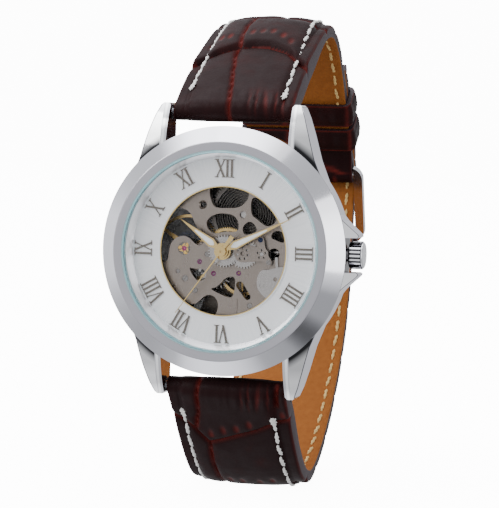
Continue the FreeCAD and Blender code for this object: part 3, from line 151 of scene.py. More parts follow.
def place(tree):
    """x, y and z of a point in the shared frame, in metres."""
    where = node(tree, "ShaderNodeTexCoord").outputs["Object"]
    return tuple(node(tree, "ShaderNodeSeparateXYZ", {0: where}).outputs)


def hypotenuse(tree, a, b):
    return maths(tree, "SQRT", maths(tree, "ADD", maths(tree, "MULTIPLY", a, a),
                                     maths(tree, "MULTIPLY", b, b)))


def radius_from_axis(tree):
    """Distance from the hands' axis, in metres, and the angle round it."""
    x, _, z = place(tree)
    return hypotenuse(tree, x, z), maths(tree, "ARCTAN2", x, z)


def metal(name, color, rough, wear=0.04, grain=900.0, strength=0.02, stretch=None, **sockets):
    m, tree, bsdf = material(name, color, rough, 1.0, **sockets)
    fine = noise(tree, grain, 4, stretch=stretch)
    tree.links.new(ramp(tree, fine, 0.3, 0.7, rough - wear / 2, rough + wear),
                   bsdf.inputs["Roughness"])
    bump(tree, bsdf, fine, strength, 0.00005)
    return m


def between(tree, value, low, high, edge):
    """1 where the value lies between low and high, falling to 0 over edge on both sides."""
    return maths(tree, "MULTIPLY", ramp(tree, value, low - edge, low, 0, 1),
                 ramp(tree, value, high, high + edge, 1, 0))


def broken_line(tree, value, points):
    """Height of a line of (value, height) points at every value."""
    total = points[0][1]
    for (v0, h0), (v1, h1) in zip(points, points[1:]):
        total = maths(tree, "ADD", total, ramp(tree, value, v0, v1, 0, h1 - h0))
    return total


# Places on the watch that the materials need, in metres, and the colour of the case's flanks: steel
# tinted lavender grey, partly a painted reflection.
STEM_HEIGHT = 0.0039                  # of the crown's axis above the case back
OPENING_R, GLASS_R = 0.01041, 0.01566    # of the dial's opening, and where the glass's rim starts
BEZEL_FLAT_R = 0.01745
BALANCE_AT, BLUED_SCREW_AT = (-0.0068, 0.0002), (0.006, 0.002)
FLANK_REFLECTION_TONE = (0.66, 0.645, 0.70)
# Outer edge of the lugs and of the crown guards as (distance from the crown's line, x).
LUG_EDGE = [(0.0060, 0.0185), (0.0086, 0.0169), (0.0149, 0.0144), (0.0188, 0.0133),
            (0.0216, 0.0124), (0.0232, 0.0117)]
GUARD_EDGE = [(0.00275, 0.0215), (0.0030, 0.0218), (0.00335, 0.0216), (0.0054, 0.0193),
              (0.0076, 0.0175)]


def case_metal():
    """Polished steel whose narrow facets carry painted reflections, dark lines and bright ends, and
    painted shade behind the crown.
    """
    m, tree, bsdf = material("case_steel", (0.8, 0.8, 0.82), 0.1, 1.0)
    along, y, z = place(tree)
    side, rise = maths(tree, "ABSOLUTE", along), maths(tree, "ABSOLUTE", z)
    r = radius_from_axis(tree)[0]
    lug = maths(tree, "GREATER_THAN", rise, 0.0086)
    edge = maths(tree, "SUBTRACT", broken_line(tree, rise, LUG_EDGE), side)
    guard_edge = maths(tree, "SUBTRACT", broken_line(tree, rise, GUARD_EDGE), along)
    on_top = maths(tree, "MULTIPLY", lug, maths(tree, "GREATER_THAN", edge, 0.00003))
    guard = maths(tree, "MULTIPLY", between(tree, rise, 0.0028, 0.0072, 0.00001),
                  maths(tree, "GREATER_THAN", along, 0.0180))
    guard_top = maths(tree, "MULTIPLY", guard, maths(tree, "GREATER_THAN", guard_edge, 0.00003))
    # Painted reflection on a lug's facet: bright at the tip, grey on the way, black beside the bezel,
    # and white with a grey strip on its inner part.
    painted_facet = broken_line(tree, rise, [(0.0120, 0.50), (0.0185, 0.62), (0.0205, 0.98)])
    shade = node(tree, "ShaderNodeCombineXYZ", {0: painted_facet, 1: painted_facet, 2: painted_facet}).outputs[0]
    painted_facet = mixed(tree, ramp(tree, r, 0.02035, 0.0215, 1, 0), shade, (0.02, 0.02, 0.022))
    painted_strip = mixed(tree, between(tree, side, 0.01055, 0.01085, 0.0001), (0.62, 0.62, 0.64),
                  (1.0, 1.0, 1.0))
    painted_facet = mixed(tree, ramp(tree, side, 0.01100, 0.01112, 0, 1), painted_strip, painted_facet)
    # Painted reflections: the flanks take the painted lavender-grey tone, the lug tops the painted
    # facet colours.
    color = mixed(tree, on_top, FLANK_REFLECTION_TONE, painted_facet)
    # Painted dark reflection line just inside the lug's outer edge.
    line = maths(tree, "MULTIPLY", on_top, between(tree, edge, 0.00006, 0.00015, 0.00004))
    color = mixed(tree, line, color, (0.09, 0.09, 0.10))
    # Painted highlights on the guards' small white triangles, and painted shade in a round patch
    # behind the crown.
    color = mixed(tree, guard_top, color, (1.0, 1.0, 1.0))
    # Painted dark reflection line just inside the guard's edge.
    line = maths(tree, "MULTIPLY", guard_top, between(tree, guard_edge, 0.00006, 0.00014, 0.00004))
    color = mixed(tree, line, color, (0.09, 0.09, 0.10))
    from_stem = hypotenuse(tree, maths(tree, "ADD", y, STEM_HEIGHT), rise)
    crown_shade = maths(tree, "MULTIPLY", maths(tree, "GREATER_THAN", along, 0.0180),
                   maths(tree, "MULTIPLY", maths(tree, "LESS_THAN", rise, 0.0028),
                         ramp(tree, from_stem, 0.0029, 0.0036, 1, 0)))
    color = mixed(tree, crown_shade, color, (0.025, 0.022, 0.022))
    tree.links.new(color, bsdf.inputs["Base Color"])
    fine = noise(tree, 500, 4)
    tree.links.new(ramp(tree, fine, 0.3, 0.7, 0.10, 0.14), bsdf.inputs["Roughness"])
    return m


def crown_metal():
    """Polished knob with painted shade in the grooves between its flutes."""
    m, tree, bsdf = material("crown_steel", (0.85, 0.85, 0.87), 0.12, 1.0)
    x, y, z = place(tree)
    r = hypotenuse(tree, maths(tree, "ADD", y, STEM_HEIGHT), z)
    fluted = maths(tree, "LESS_THAN", x, 0.02198)
    # Painted shade in the grooves between the flutes.
    groove = maths(tree, "MULTIPLY", fluted, ramp(tree, r, 0.00212, 0.00220, 1, 0))
    seam = between(tree, x, 0.02197, 0.02205, 0.00003)
    dark = maths(tree, "MAXIMUM", groove, maths(tree, "MULTIPLY", seam, 0.8))
    tree.links.new(mixed(tree, dark, (0.9, 0.9, 0.92), (0.05, 0.05, 0.055)),
                   bsdf.inputs["Base Color"])
    return m


def gold_rim():
    """Thin gold edge of the dial's opening; the rest of the ring is as silvery as the dial."""
    m, tree, bsdf = material("gold_rim", (0.72, 0.53, 0.23), 0.25, 1.0)
    outer = ramp(tree, radius_from_axis(tree)[0], OPENING_R, OPENING_R + 0.00004, 0, 1)
    tree.links.new(mixed(tree, outer, (0.74, 0.55, 0.22), (0.86, 0.87, 0.88)),
                   bsdf.inputs["Base Color"])
    tree.links.new(ramp(tree, outer, 0, 1, 1.0, 0.35), bsdf.inputs["Metallic"])
    return m


def bezel_metal():
    """Brushed flat ring beside the glass, painted darker grey as a painted reflection; polished
    slope; a painted dark line at the seam between them; and painted shade on the side towards the
    case.
    """
    m, tree, bsdf = material("bezel_steel", (0.8, 0.8, 0.82), 0.1, 1.0)
    r = radius_from_axis(tree)[0]
    flat = maths(tree, "LESS_THAN", r, BEZEL_FLAT_R)
    ring = node(tree, "ShaderNodeCombineXYZ", {0: maths(tree, "MULTIPLY", r, 9000.0)})
    lines = noise(tree, 1.0, 2, vector=ring.outputs[0])
    seam = between(tree, r, 0.01743, 0.01749, 0.00004)
    # Painted reflections: the brushed ring darker than the slope, and a dark line at the seam between
    # them.
    color = mixed(tree, flat, (0.82, 0.82, 0.86), (0.40, 0.395, 0.42))
    color = mixed(tree, maths(tree, "MULTIPLY", seam, 0.45), color, (0.25, 0.25, 0.27))
    # Painted shade on the bezel's side towards the case.
    lower = maths(tree, "GREATER_THAN", place(tree)[1], -0.00783)
    tree.links.new(mixed(tree, lower, color, (0.16, 0.16, 0.17)), bsdf.inputs["Base Color"])
    tree.links.new(maths(tree, "ADD", ramp(tree, flat, 0, 1, 0.09, 0.30),
                         maths(tree, "MULTIPLY", lines, 0.05)), bsdf.inputs["Roughness"])
    return m


def rehaut_metal():
    """Polished cone with a painted highlight that glows: white where the light catches it beside the
    glass, softer by the dial and fainter to the left.
    """
    m, tree, bsdf = material("rehaut_steel", (0.92, 0.92, 0.94), 0.2, 0.6)
    # Painted highlight: emission makes the cone glow, though it is no lamp.
    bsdf.inputs["Emission Color"].default_value = (0.95, 0.96, 1.0, 1)
    painted_glow = maths(tree, "MULTIPLY",
                 ramp(tree, radius_from_axis(tree)[0], 0.0151, 0.0155, 0.15, 1.1),
                 ramp(tree, place(tree)[0], -0.010, 0.008, 0.12, 1.0))
    tree.links.new(painted_glow, bsdf.inputs["Emission Strength"])
    return m


def dial_metal():
    m, tree, bsdf = material("dial_sunburst", (0.9, 0.91, 0.92), 0.34, 0.35)
    r, angle = radius_from_axis(tree)
    ray = node(tree, "ShaderNodeCombineXYZ", {0: maths(tree, "MULTIPLY", angle, 34.0),
                                              1: maths(tree, "MULTIPLY", r, 60.0)})
    rays = noise(tree, 1.5, 5, 0.7, vector=ray.outputs[0])
    tree.links.new(mixed(tree, ramp(tree, rays, 0.35, 0.65, 0, 1), (0.88, 0.89, 0.9),
                         (0.99, 0.99, 0.99)), bsdf.inputs["Base Color"])
    tree.links.new(ramp(tree, rays, 0.3, 0.7, 0.28, 0.42), bsdf.inputs["Roughness"])
    bump(tree, bsdf, rays, 0.06, 0.00005)
    return m


def crystal_glass():
    m, tree, bsdf = material("crystal_glass", (1.0, 1.0, 1.0), 0.02)
    rim = ramp(tree, radius_from_axis(tree)[0], GLASS_R, GLASS_R + 0.00008, 0, 1)
    tree.links.new(mixed(tree, rim, (0.01, 0.01, 0.01), (0.20, 0.42, 0.46)),
                   bsdf.inputs["Base Color"])
    tree.links.new(ramp(tree, rim, 0, 1, 0.05, 0.75), bsdf.inputs["Alpha"])
    return m


def painted_shade_glass():
    """Case back glass painted nearly black: painted shade for the wrist side in shade behind it."""
    m, tree, bsdf = material("painted_shade_glass", (0.024, 0.019, 0.015), 0.2,
                             Specular_IOR_Level=0.15)
    patches = noise(tree, 240.0, 3)
    tree.links.new(ramp(tree, patches, 0.3, 0.7, 0.92, 0.965), bsdf.inputs["Alpha"])
    return m


def leather_skin(name, dark, red, rough):
    m, tree, bsdf = material(name, dark, rough, 0.0, Specular_IOR_Level=0.065)
    crease = node(tree, "ShaderNodeAttribute", attribute_name="crease").outputs["Fac"]
    patchy = noise(tree, 420.0, 5, 0.6)
    wide = noise(tree, 110.0, 3, 0.6)
    amount = maths(tree, "MULTIPLY", crease, ramp(tree, patchy, 0.3, 0.62, 0.55, 1.15), True)
    worn = maths(tree, "MULTIPLY", ramp(tree, wide, 0.5, 0.75, 0, 0.16),
                 ramp(tree, patchy, 0.4, 0.6, 0.4, 1.0))
    base = mixed(tree, worn, dark, red)
    tree.links.new(mixed(tree, amount, base, red), bsdf.inputs["Base Color"])
    tree.links.new(ramp(tree, patchy, 0.3, 0.7, rough - 0.06, rough + 0.1),
                   bsdf.inputs["Roughness"])
    pores = noise(tree, 2600.0, 3, 0.6)
    folds = noise(tree, 800.0, 4, 0.6)
    height = maths(tree, "ADD", maths(tree, "MULTIPLY", pores, 0.4), folds)
    bump(tree, bsdf, height, 0.22, 0.00016)
    return m


def grained(name, color, second, rough, grain, strength, distance=0.0001, **sockets):
    m, tree, bsdf = material(name, color, rough, **sockets)
    value = noise(tree, grain, 4)
    tree.links.new(mixed(tree, ramp(tree, value, 0.3, 0.7, 0, 1), color, second),
                   bsdf.inputs["Base Color"])
    bump(tree, bsdf, value, strength, distance)
    return m


def near_point(tree, x, z, inner, outer):
    """1 within inner of a point and 0 beyond outer, the angle round it and the distance."""
    here_x, _, here_z = place(tree)
    dx, dz = maths(tree, "SUBTRACT", here_x, x), maths(tree, "SUBTRACT", here_z, z)
    d = hypotenuse(tree, dx, dz)
    return ramp(tree, d, inner, outer, 1, 0), maths(tree, "ARCTAN2", dx, dz), d


def shock_metal():
    """Balance jewel: ruby in the middle, held by a gold three-lobed spring in a steel seat; the seat
    and the spring's slots are darkened as painted shade.
    """
    m, tree, bsdf = material("shock_setting", (0.7, 0.5, 0.2), 0.22, 1.0)
    middle, angle, d = near_point(tree, *BALANCE_AT, 0.00036, 0.00042)
    lobes = maths(tree, "SINE", maths(tree, "MULTIPLY", angle, 3.0))
    edge = maths(tree, "ADD", 0.00082, maths(tree, "MULTIPLY", lobes, 0.00020))
    gold = maths(tree, "LESS_THAN", d, edge)
    wave = maths(tree, "SINE", maths(tree, "MULTIPLY", angle, 6.0))
    slot = maths(tree, "MULTIPLY", maths(tree, "GREATER_THAN", wave, 0.55), 0.8)
    gold = maths(tree, "MULTIPLY", gold, maths(tree, "SUBTRACT", 1.0, slot))
    # Painted shade: the seat round the spring and its slots are dark.
    color = mixed(tree, gold, (0.2, 0.185, 0.17), (0.80, 0.52, 0.16))
    tree.links.new(mixed(tree, middle, color, (0.30, 0.03, 0.13)), bsdf.inputs["Base Color"])
    tree.links.new(ramp(tree, middle, 0, 1, 1.0, 0.0), bsdf.inputs["Metallic"])
    return m


def screw_metal():
    """Steel screws; the one beside the minute wheel is blued."""
    m, tree, bsdf = material("screw_steel", (0.5, 0.48, 0.46), 0.2, 1.0)
    blue = near_point(tree, *BLUED_SCREW_AT, 0.0006, 0.00065)[0]
    tree.links.new(mixed(tree, blue, (0.27, 0.255, 0.24), (0.02, 0.03, 0.07)),
                   bsdf.inputs["Base Color"])
    return m


def bridge_metal():
    """Nickel bridges with painted shade on the side that faces the main plate."""
    m, tree, bsdf = material("bridge_nickel", (0.345, 0.315, 0.285), 0.3, 1.0)
    # Painted shade on the side facing the main plate.
    inner = maths(tree, "LESS_THAN", place(tree)[1], -0.00285)
    tree.links.new(mixed(tree, inner, (0.345, 0.315, 0.285), (0.075, 0.064, 0.053)),
                   bsdf.inputs["Base Color"])
    return m


POLISHED = metal("polished_steel", (0.82, 0.82, 0.84), 0.09, 0.03, 500, 0.01)
SATIN = metal("satin_steel", (0.74, 0.74, 0.76), 0.28, 0.03, 700, 0.008)
BEZEL = bezel_metal()
CASE, CROWN, RIM = case_metal(), crown_metal(), gold_rim()
REHAUT = rehaut_metal()
DIAL = dial_metal()
CRYSTAL = crystal_glass()
BACK_GLASS = painted_shade_glass()
GASKET = grained("gasket_nylon", (0.3, 0.45, 0.46), (0.25, 0.4, 0.42), 0.4, 900, 0.05)
NUMERAL = metal("numeral_metal", (0.21, 0.19, 0.165), 0.24)
GOLD = metal("pale_gold", (0.72, 0.53, 0.23), 0.2)
LUME = grained("lume_white", (0.82, 0.83, 0.81), (0.76, 0.78, 0.76), 0.6, 1500, 0.1)
NICKEL = metal("nickel_plate", (0.295, 0.255, 0.222), 0.3, 0.1, 1400, 0.06, (1, 1, 0.2))
MOVEMENT = metal("movement_steel", (0.44, 0.42, 0.4), 0.22, 0.08, 1200, 0.04)
# Barrel drum painted dark: painted shade where it sits in the movement.
PAINTED_SHADE_STEEL = metal("shaded_steel", (0.15, 0.138, 0.125), 0.3, 0.1, 1200, 0.04)
BRASS = metal("brass", (0.66, 0.47, 0.2), 0.27, 0.08, 1200, 0.04)
RUBY = material("ruby", (0.12, 0.02, 0.075), 0.1, 0.0, Coat_Weight=0.5)[0]
SHOCK, SCREWS, BRIDGE = shock_metal(), screw_metal(), bridge_metal()
BLUED = metal("blued_spring", (0.03, 0.05, 0.11), 0.25)
SPRING = metal("spring_steel", (0.068, 0.062, 0.056), 0.3)
CROC = leather_skin("croc_leather", (0.0125, 0.0040, 0.0042), (0.098, 0.0120, 0.0095), 0.42)
EDGE_PAINT = grained("edge_paint", (0.034, 0.020, 0.025), (0.024, 0.012, 0.015), 0.5, 900, 0.2,
                     Specular_IOR_Level=0.25)
TAN = grained("tan_lining", (0.285, 0.098, 0.020), (0.24, 0.078, 0.015), 0.7, 1100, 0.25,
              Specular_IOR_Level=0.1)
THREAD = grained("white_thread", (0.80, 0.79, 0.76), (0.62, 0.60, 0.57), 0.75, 5200, 0.5, 0.00008)
TAN_THREAD = grained("tan_thread", (0.66, 0.46, 0.17), (0.5, 0.33, 0.12), 0.7, 5200, 0.5, 0.00008)

FINISH = [
    (CASE, "case_middle"), (BEZEL, "bezel"), (CRYSTAL, "crystal"), (GASKET, "crystal_gasket"),
    (REHAUT, "rehaut_ring"), (BACK_GLASS, "case_back_glass"), (DIAL, "dial"),
    (RIM, "aperture_ring"), (NUMERAL, "hour_markers"), (CROWN, "crown"), (RUBY, "train_jewels"),
    (SHOCK, "shock_settings"), (SCREWS, "movement_screws"), (PAINTED_SHADE_STEEL, "barrel_drum"),
    (SPRING, "mainspring"), (BLUED, "hairspring"),
    (SATIN, "case_back movement_ring crown_tube lug_spring_bars"),
    (GOLD, "hour_hand minute_hand second_hand"), (LUME, "hour_hand_lume minute_hand_lume"),
    (NICKEL, "main_plate pallet_bridge motion_work_cover"),
    (BRIDGE, "barrel_bridge train_bridge balance_cock"),
    (BRASS, "centre_wheel third_wheel fourth_wheel balance_wheel"),
    (MOVEMENT, "flat_springs barrel_arbor ratchet_wheel crown_wheel click cannon_pinion "
               "escape_wheel pallet_fork balance_staff minute_wheel hour_wheel setting_wheel "
               "winding_stem winding_pinion clutch setting_lever yoke"),
    (POLISHED, "buckle_frame buckle_tongue"),
    (CROC, "strap_top_outer strap_bottom_outer keeper_fixed keeper_free"),
    (TAN, "strap_top_lining strap_bottom_lining"),
]
for finish, names in FINISH:
    for name in names.split():
        NODES[name].data.materials.clear()
        NODES[name].data.materials.append(finish)


# ---- curves of the strap ---------------------------------------------------------------------
class Route:
    """Smooth curve through (y, z) points, met by the distance along its chords."""

    def __init__(self, points, inward):
        p = np.array(points, float)
        t = np.concatenate([[0], np.cumsum(np.linalg.norm(np.diff(p, axis=0), axis=1))])
        h, n = np.diff(t), len(p)
        a, r = np.zeros((n, n)), np.zeros((n, 2))
        a[0, 0] = a[-1, -1] = 1
        for i in range(1, n - 1):
            a[i, i - 1], a[i, i], a[i, i + 1] = h[i - 1], 2 * (h[i - 1] + h[i]), h[i]
            r[i] = 6 * ((p[i + 1] - p[i]) / h[i] - (p[i] - p[i - 1]) / h[i - 1])
        self.p, self.t, self.h, self.m = p, t, h, np.linalg.solve(a, r)
        self.length, self.inward = t[-1], inward

    def at(self, s):
        """Points and inward normals at distances s."""
        s = np.atleast_1d(np.asarray(s, float))
        i = np.clip(np.searchsorted(self.t, s, side="right") - 1, 0, len(self.p) - 2)
        h = self.h[i][:, None]
        a, b = (self.t[i + 1] - s)[:, None], (s - self.t[i])[:, None]
        c0, c1 = self.p[i] / h - self.m[i] * h / 6, self.p[i + 1] / h - self.m[i + 1] * h / 6
        point = self.m[i] * a ** 3 / (6 * h) + self.m[i + 1] * b ** 3 / (6 * h) + c0 * a + c1 * b
        along = -self.m[i] * a ** 2 / (2 * h) + self.m[i + 1] * b ** 2 / (2 * h) - c0 + c1
        along /= np.linalg.norm(along, axis=1)[:, None]
        return point, np.stack([-along[:, 1], along[:, 0]], 1) * self.inward


def profile_at(share, table):
    """Smooth steps through a table of (share, value)."""
    share = np.asarray(share, float)
    out = np.full(share.shape, float(table[-1][1]))
    for (s0, v0), (s1, v1) in reversed(list(zip(table, table[1:]))):
        f = np.clip((share - s0) / (s1 - s0), 0, 1)
        out = np.where(share <= s1, v0 + (v1 - v0) * f * f * (3 - 2 * f), out)
    return out


def half_width(y):
    return HALF_WIDTH_AT_LUGS - (y - LUG_Y) * TAPER


def line_distance(s, x, line):
    """Distance of every (s, x) from a line of (s, x) points."""
    best = np.full(s.shape, 99.0)
    for (s0, x0), (s1, x1) in zip(line, line[1:]):
        ds, dx = s1 - s0, x1 - x0
        f = np.clip(((s - s0) * ds + (x - x0) * dx) / (ds * ds + dx * dx), 0, 1)
        best = np.minimum(best, np.hypot(s - s0 - f * ds, x - x0 - f * dx))
    return best


def wavy(line, amount, seed):
    """The same line in short steps, a little unsteady."""
    rng = np.random.default_rng(seed)
    out = []
    for (s0, x0), (s1, x1) in zip(line, line[1:]):
        steps = max(1, int(math.hypot(s1 - s0, x1 - x0) / 1.3))
        for k in range(steps):
            f = k / steps
            out.append((s0 + (s1 - s0) * f, x0 + (x1 - x0) * f))
    out.append(line[-1])
    return [(s + rng.normal(0, amount), x + rng.normal(0, amount)) for s, x in out]


# ---- scale pattern: grooves as (distance from the lug, x), and small oval dimples ------------
TOP_GROOVES = [
    [(10.9, -9.9), (11.3, -9.5), (12.9, -8.0), (14.9, -5.4), (16.3, -2.7), (16.8, 0), (16.7, 2.6),
     (15.3, 5.9), (12.7, 8.4), (11.4, 9.9)],
    [(16.4, -2.7), (14.1, -2.7), (8.7, -2.0), (4.1, -1.2), (0, -0.6), (-3, -0.3)],
    [(16.8, -2.5), (19.0, -2.8), (24.0, -3.0), (29.5, -2.6)],
]
BOTTOM_GROOVES = [
    [(5.2, -9.9), (5.8, -9.4), (7.5, -6.8), (11.3, -4.3), (10.0, -0.7), (8.2, 3.7), (6.4, 7.3),
     (5.8, 9.9)],
    [(-3, -4.0), (0.3, -4.8), (4.0, -5.2), (7.9, -6.1)],
    [(11.3, -4.3), (15.3, -4.6), (20.0, -4.7), (25.4, -4.2)],
    [(-2, 8.6), (2.2, 8.1)],
]
TOP_DIMPLES = [(18.1, -7.7), (19.5, -6.4), (19.7, -4.9), (20.6, -1.2), (21.0, 0.5), (21.1, 2.2),
               (19.9, 4.2), (18.2, 5.8)]
BOTTOM_DIMPLES = [(8.8, -3.6), (7.8, -1.4), (7.4, 0.9), (6.3, 3.2), (4.4, 8.9), (21.9, -2.6),
                  (22.1, -0.6), (22.2, 2.4), (21.6, 4.7)]


def scales_beyond(start, length, seed, step=9.2):
    """Grooves and dimples for the rest of a strap half, in rows of large scales."""
    rng = np.random.default_rng(seed)
    grooves, dimples = [], []
    s, side = start, 1
    while s < length + 6:
        bow = rng.uniform(-1.2, 1.6)
        kink = rng.uniform(-3, 3)
        grooves.append([(s - 0.8, -10.2), (s + rng.uniform(-0.3, 0.3), -6.4), (s + bow, kink),
                        (s + rng.uniform(-0.4, 0.4), 6.2), (s - 0.9, 10.2)])
        x0 = side * rng.uniform(2.0, 4.6)
        grooves.append([(s + bow * 0.7, x0), (s + step * 0.5, x0 + rng.uniform(-0.4, 0.4)),
                        (s + step, x0 + rng.uniform(-0.5, 0.5))])
        for x in np.arange(-7.2, 7.3, 1.9):
            dimples.append((s + step - 2.4 + rng.uniform(-0.5, 0.5), x + rng.uniform(-0.4, 0.4)))
        s += step * rng.uniform(0.9, 1.1)
        side = -side
    return grooves, dimples


def relief(s, x, half, grooves, dimples, pad, ridge=None):
    """Height above the strap's line, and how much red shows, at every (s, x)."""
    lines = [wavy(g, 0.06, 7 + i) for i, g in enumerate(grooves)]
    near = np.full(s.shape, 99.0)
    for line in lines:
        near = np.minimum(near, line_distance(s, x, line))
    height = 0.34 * (1 - np.exp(-near / 0.9)) - 0.4 * np.exp(-(near / 0.27) ** 2)
    red = np.exp(-(near / 0.3) ** 2)
    for ds, dx in dimples:
        oval = ((s - ds) / 0.95) ** 2 + ((x - dx) / 0.42) ** 2
        height = height - 0.24 * np.exp(-oval)
        red = np.maximum(red, 0.8 * np.exp(-(oval ** 1.4)))
    if ridge is not None:
        # One scale overlaps the next: it rises steeply, black and glossy, from the groove.
        line, side, rise = ridge
        above = side * (s - np.interp(x, [p[1] for p in line], [p[0] for p in line]))
        height = height + np.where(above > 0, rise * np.exp(-np.maximum(above, 0) / 5)
                                   * (1 - np.exp(-(above / 0.8) ** 2)), 0)
        lip = (above > 0.12) & (above < 1.3) & (np.abs(x) < 9)
        own = line_distance(s, x, line) < near + 0.05
        red = np.where(lip & own, 0, red)
    # Small wrinkles where the leather turns round the lug's bar.
    if grooves:
        wrinkle = np.sin(x * 4.3 + 1.1 * np.sin(x * 1.7) + 0.5 * s)
        amount = np.exp(-((s - 0.4) / 1.7) ** 2) * np.clip((x + 1.5) / 4, 0.25, 1)
        height = height + 0.16 * amount * wrinkle
        red = np.maximum(red, 0.7 * amount * np.clip(-wrinkle, 0, 1) ** 3
                         * np.clip((x - 1) / 3, 0, 1))
    # Stuffed between the rows of stitches, thin outside them.
    row = np.where(x < 0, -LEFT_ROW, RIGHT_ROW)
    stuffed = np.clip(1 - (np.abs(x) / row) ** 2, 0, 1)
    height = height + pad * np.sqrt(stuffed) * 0.9
    height = height - 0.3 * np.exp(-((np.abs(x) - row) / 0.55) ** 2)
    outer = np.clip((np.abs(x) - (half - 0.55)) / 0.55, 0, 1)
    height = height - 0.5 * (1 - np.sqrt(np.clip(1 - outer ** 2, 0, 1)))
    height = height - np.where(np.abs(x) > row, 0.25 * np.clip((np.abs(x) - row) / 1.0, 0, 1), 0)
    return height, np.clip(red + 0.35 * np.exp(-((half - np.abs(x)) / 0.25) ** 2), 0, 1)


def pressed(s, height):
    """The tail's leather lies flat and a little sunk where the buckle's far side presses on it."""
    s = np.asarray(s)[:, None]
    under = np.clip((s - PRESSED_FROM) / 3, 0, 1) * np.clip((PRESSED_TO - s) / 3, 0, 1)
    return height * (1 - under) + np.minimum(height, PRESSED_HEIGHT) * under


# ---- meshes ----------------------------------------------------------------------------------
def new_piece(name, vertices, faces, materials, material_of=None, crease=None, sharp=50):
    mesh = bpy.data.meshes.new(name)
    mesh.from_pydata((np.asarray(vertices) * MM).tolist(), [], faces)
    for m in materials:
        mesh.materials.append(m)
    if material_of is not None:
        mesh.polygons.foreach_set("material_index", np.asarray(material_of, np.int32))
    if crease is not None:
        attribute = mesh.attributes.new("crease", "FLOAT", "POINT")
        attribute.data.foreach_set("value", np.asarray(crease, np.float32))
    mesh.validate()
    mesh.shade_smooth()
    mesh.set_sharp_from_angle(angle=math.radians(sharp))
    obj = bpy.data.objects.new(name, mesh)
    bpy.context.scene.collection.objects.link(obj)
    return obj


def layer(name, outer, inner, keep, materials, red=None):
    """Solid sheet between two grids of points, with the cells in keep, and walls round them."""
    n, m = outer.shape[:2]
    index = np.arange(n * m).reshape(n, m)
    under = index + n * m
    faces, kinds = [], []
    for i in range(n - 1):
        for j in range(m - 1):
            if not keep[i, j]:
                continue
            faces.append((index[i, j], index[i, j + 1], index[i + 1, j + 1], index[i + 1, j]))
            faces.append((under[i, j], under[i + 1, j], under[i + 1, j + 1], under[i, j + 1]))
            kinds += [0, 1 if len(materials) > 2 else 0]
            for (ni, nj), (a, b) in (((i - 1, j), ((i, j + 1), (i, j))),
                                     ((i + 1, j), ((i + 1, j), (i + 1, j + 1))),
                                     ((i, j - 1), ((i, j), (i + 1, j))),
                                     ((i, j + 1), ((i + 1, j + 1), (i, j + 1)))):
                if 0 <= ni < n - 1 and 0 <= nj < m - 1 and keep[ni, nj]:
                    continue
                faces.append((index[a], index[b], under[b], under[a]))
                kinds.append(len(materials) - 1)
    points = np.concatenate([outer.reshape(-1, 3), inner.reshape(-1, 3)])
    used = np.unique(np.array(faces).ravel())
    renumbered = np.full(len(points), -1)
    renumbered[used] = np.arange(len(used))
    faces = renumbered[np.array(faces)].tolist()
    crease = None
    if red is not None:
        crease = np.concatenate([red.ravel(), np.zeros(n * m)])[used]
    return new_piece(name, points[used], faces, materials, kinds, crease)


def rounded_holes(points, s, x, normal, holes, reach):
    """Move the points beside each punched hole on to its circle."""
    along = np.stack([np.zeros(len(s)), normal[:, 1], -normal[:, 0]], 1)[:, None, :]
    for at in holes:
        ds = (s - at)[:, None] + 0 * x
        d = np.maximum(np.hypot(ds, x), 1e-6)
        factor = np.where(np.abs(d - HOLE_R) < reach, HOLE_R / d - 1, 0)
        points = points + along * (ds * factor)[..., None]
        points[..., 0] += x * factor
    return points


def kept_cells(keep_rule, s, x, point):
    """Which cells of a grid over the strap the rule keeps, judged at their middles."""
    middle = (x[:-1, :-1] + x[1:, 1:]) / 2
    return keep_rule((s[:-1] + s[1:])[:, None] / 2 + 0 * middle, middle,
                     (point[:-1] + point[1:])[:, None, :] / 2 + 0 * middle[..., None])


def across(count=74):
    """Places across the strap from -1 to 1, closer together at the edges."""
    u = np.linspace(-1, 1, count)
    return np.sign(u) * (1 - (1 - np.abs(u)) ** 1.25)


def on_yz(x, yz):
    return np.stack([x, np.broadcast_to(yz[:, 0:1], x.shape), np.broadcast_to(yz[:, 1:2], x.shape)],
                    -1)


def fold_round(bar, route, s, begin, turn, count=22):
    """Leather from the strap's end round a bar: outer points and normals, first next to the strap."""
    (y, z), = route.at(s)[0]
    start = math.atan2(z - bar[1], y - bar[0])
    angles = start + turn * np.linspace(begin, math.radians(188), count)
    unit = np.stack([np.cos(angles), np.sin(angles)], 1)
    return np.array(bar) + unit * FOLD_R, -unit


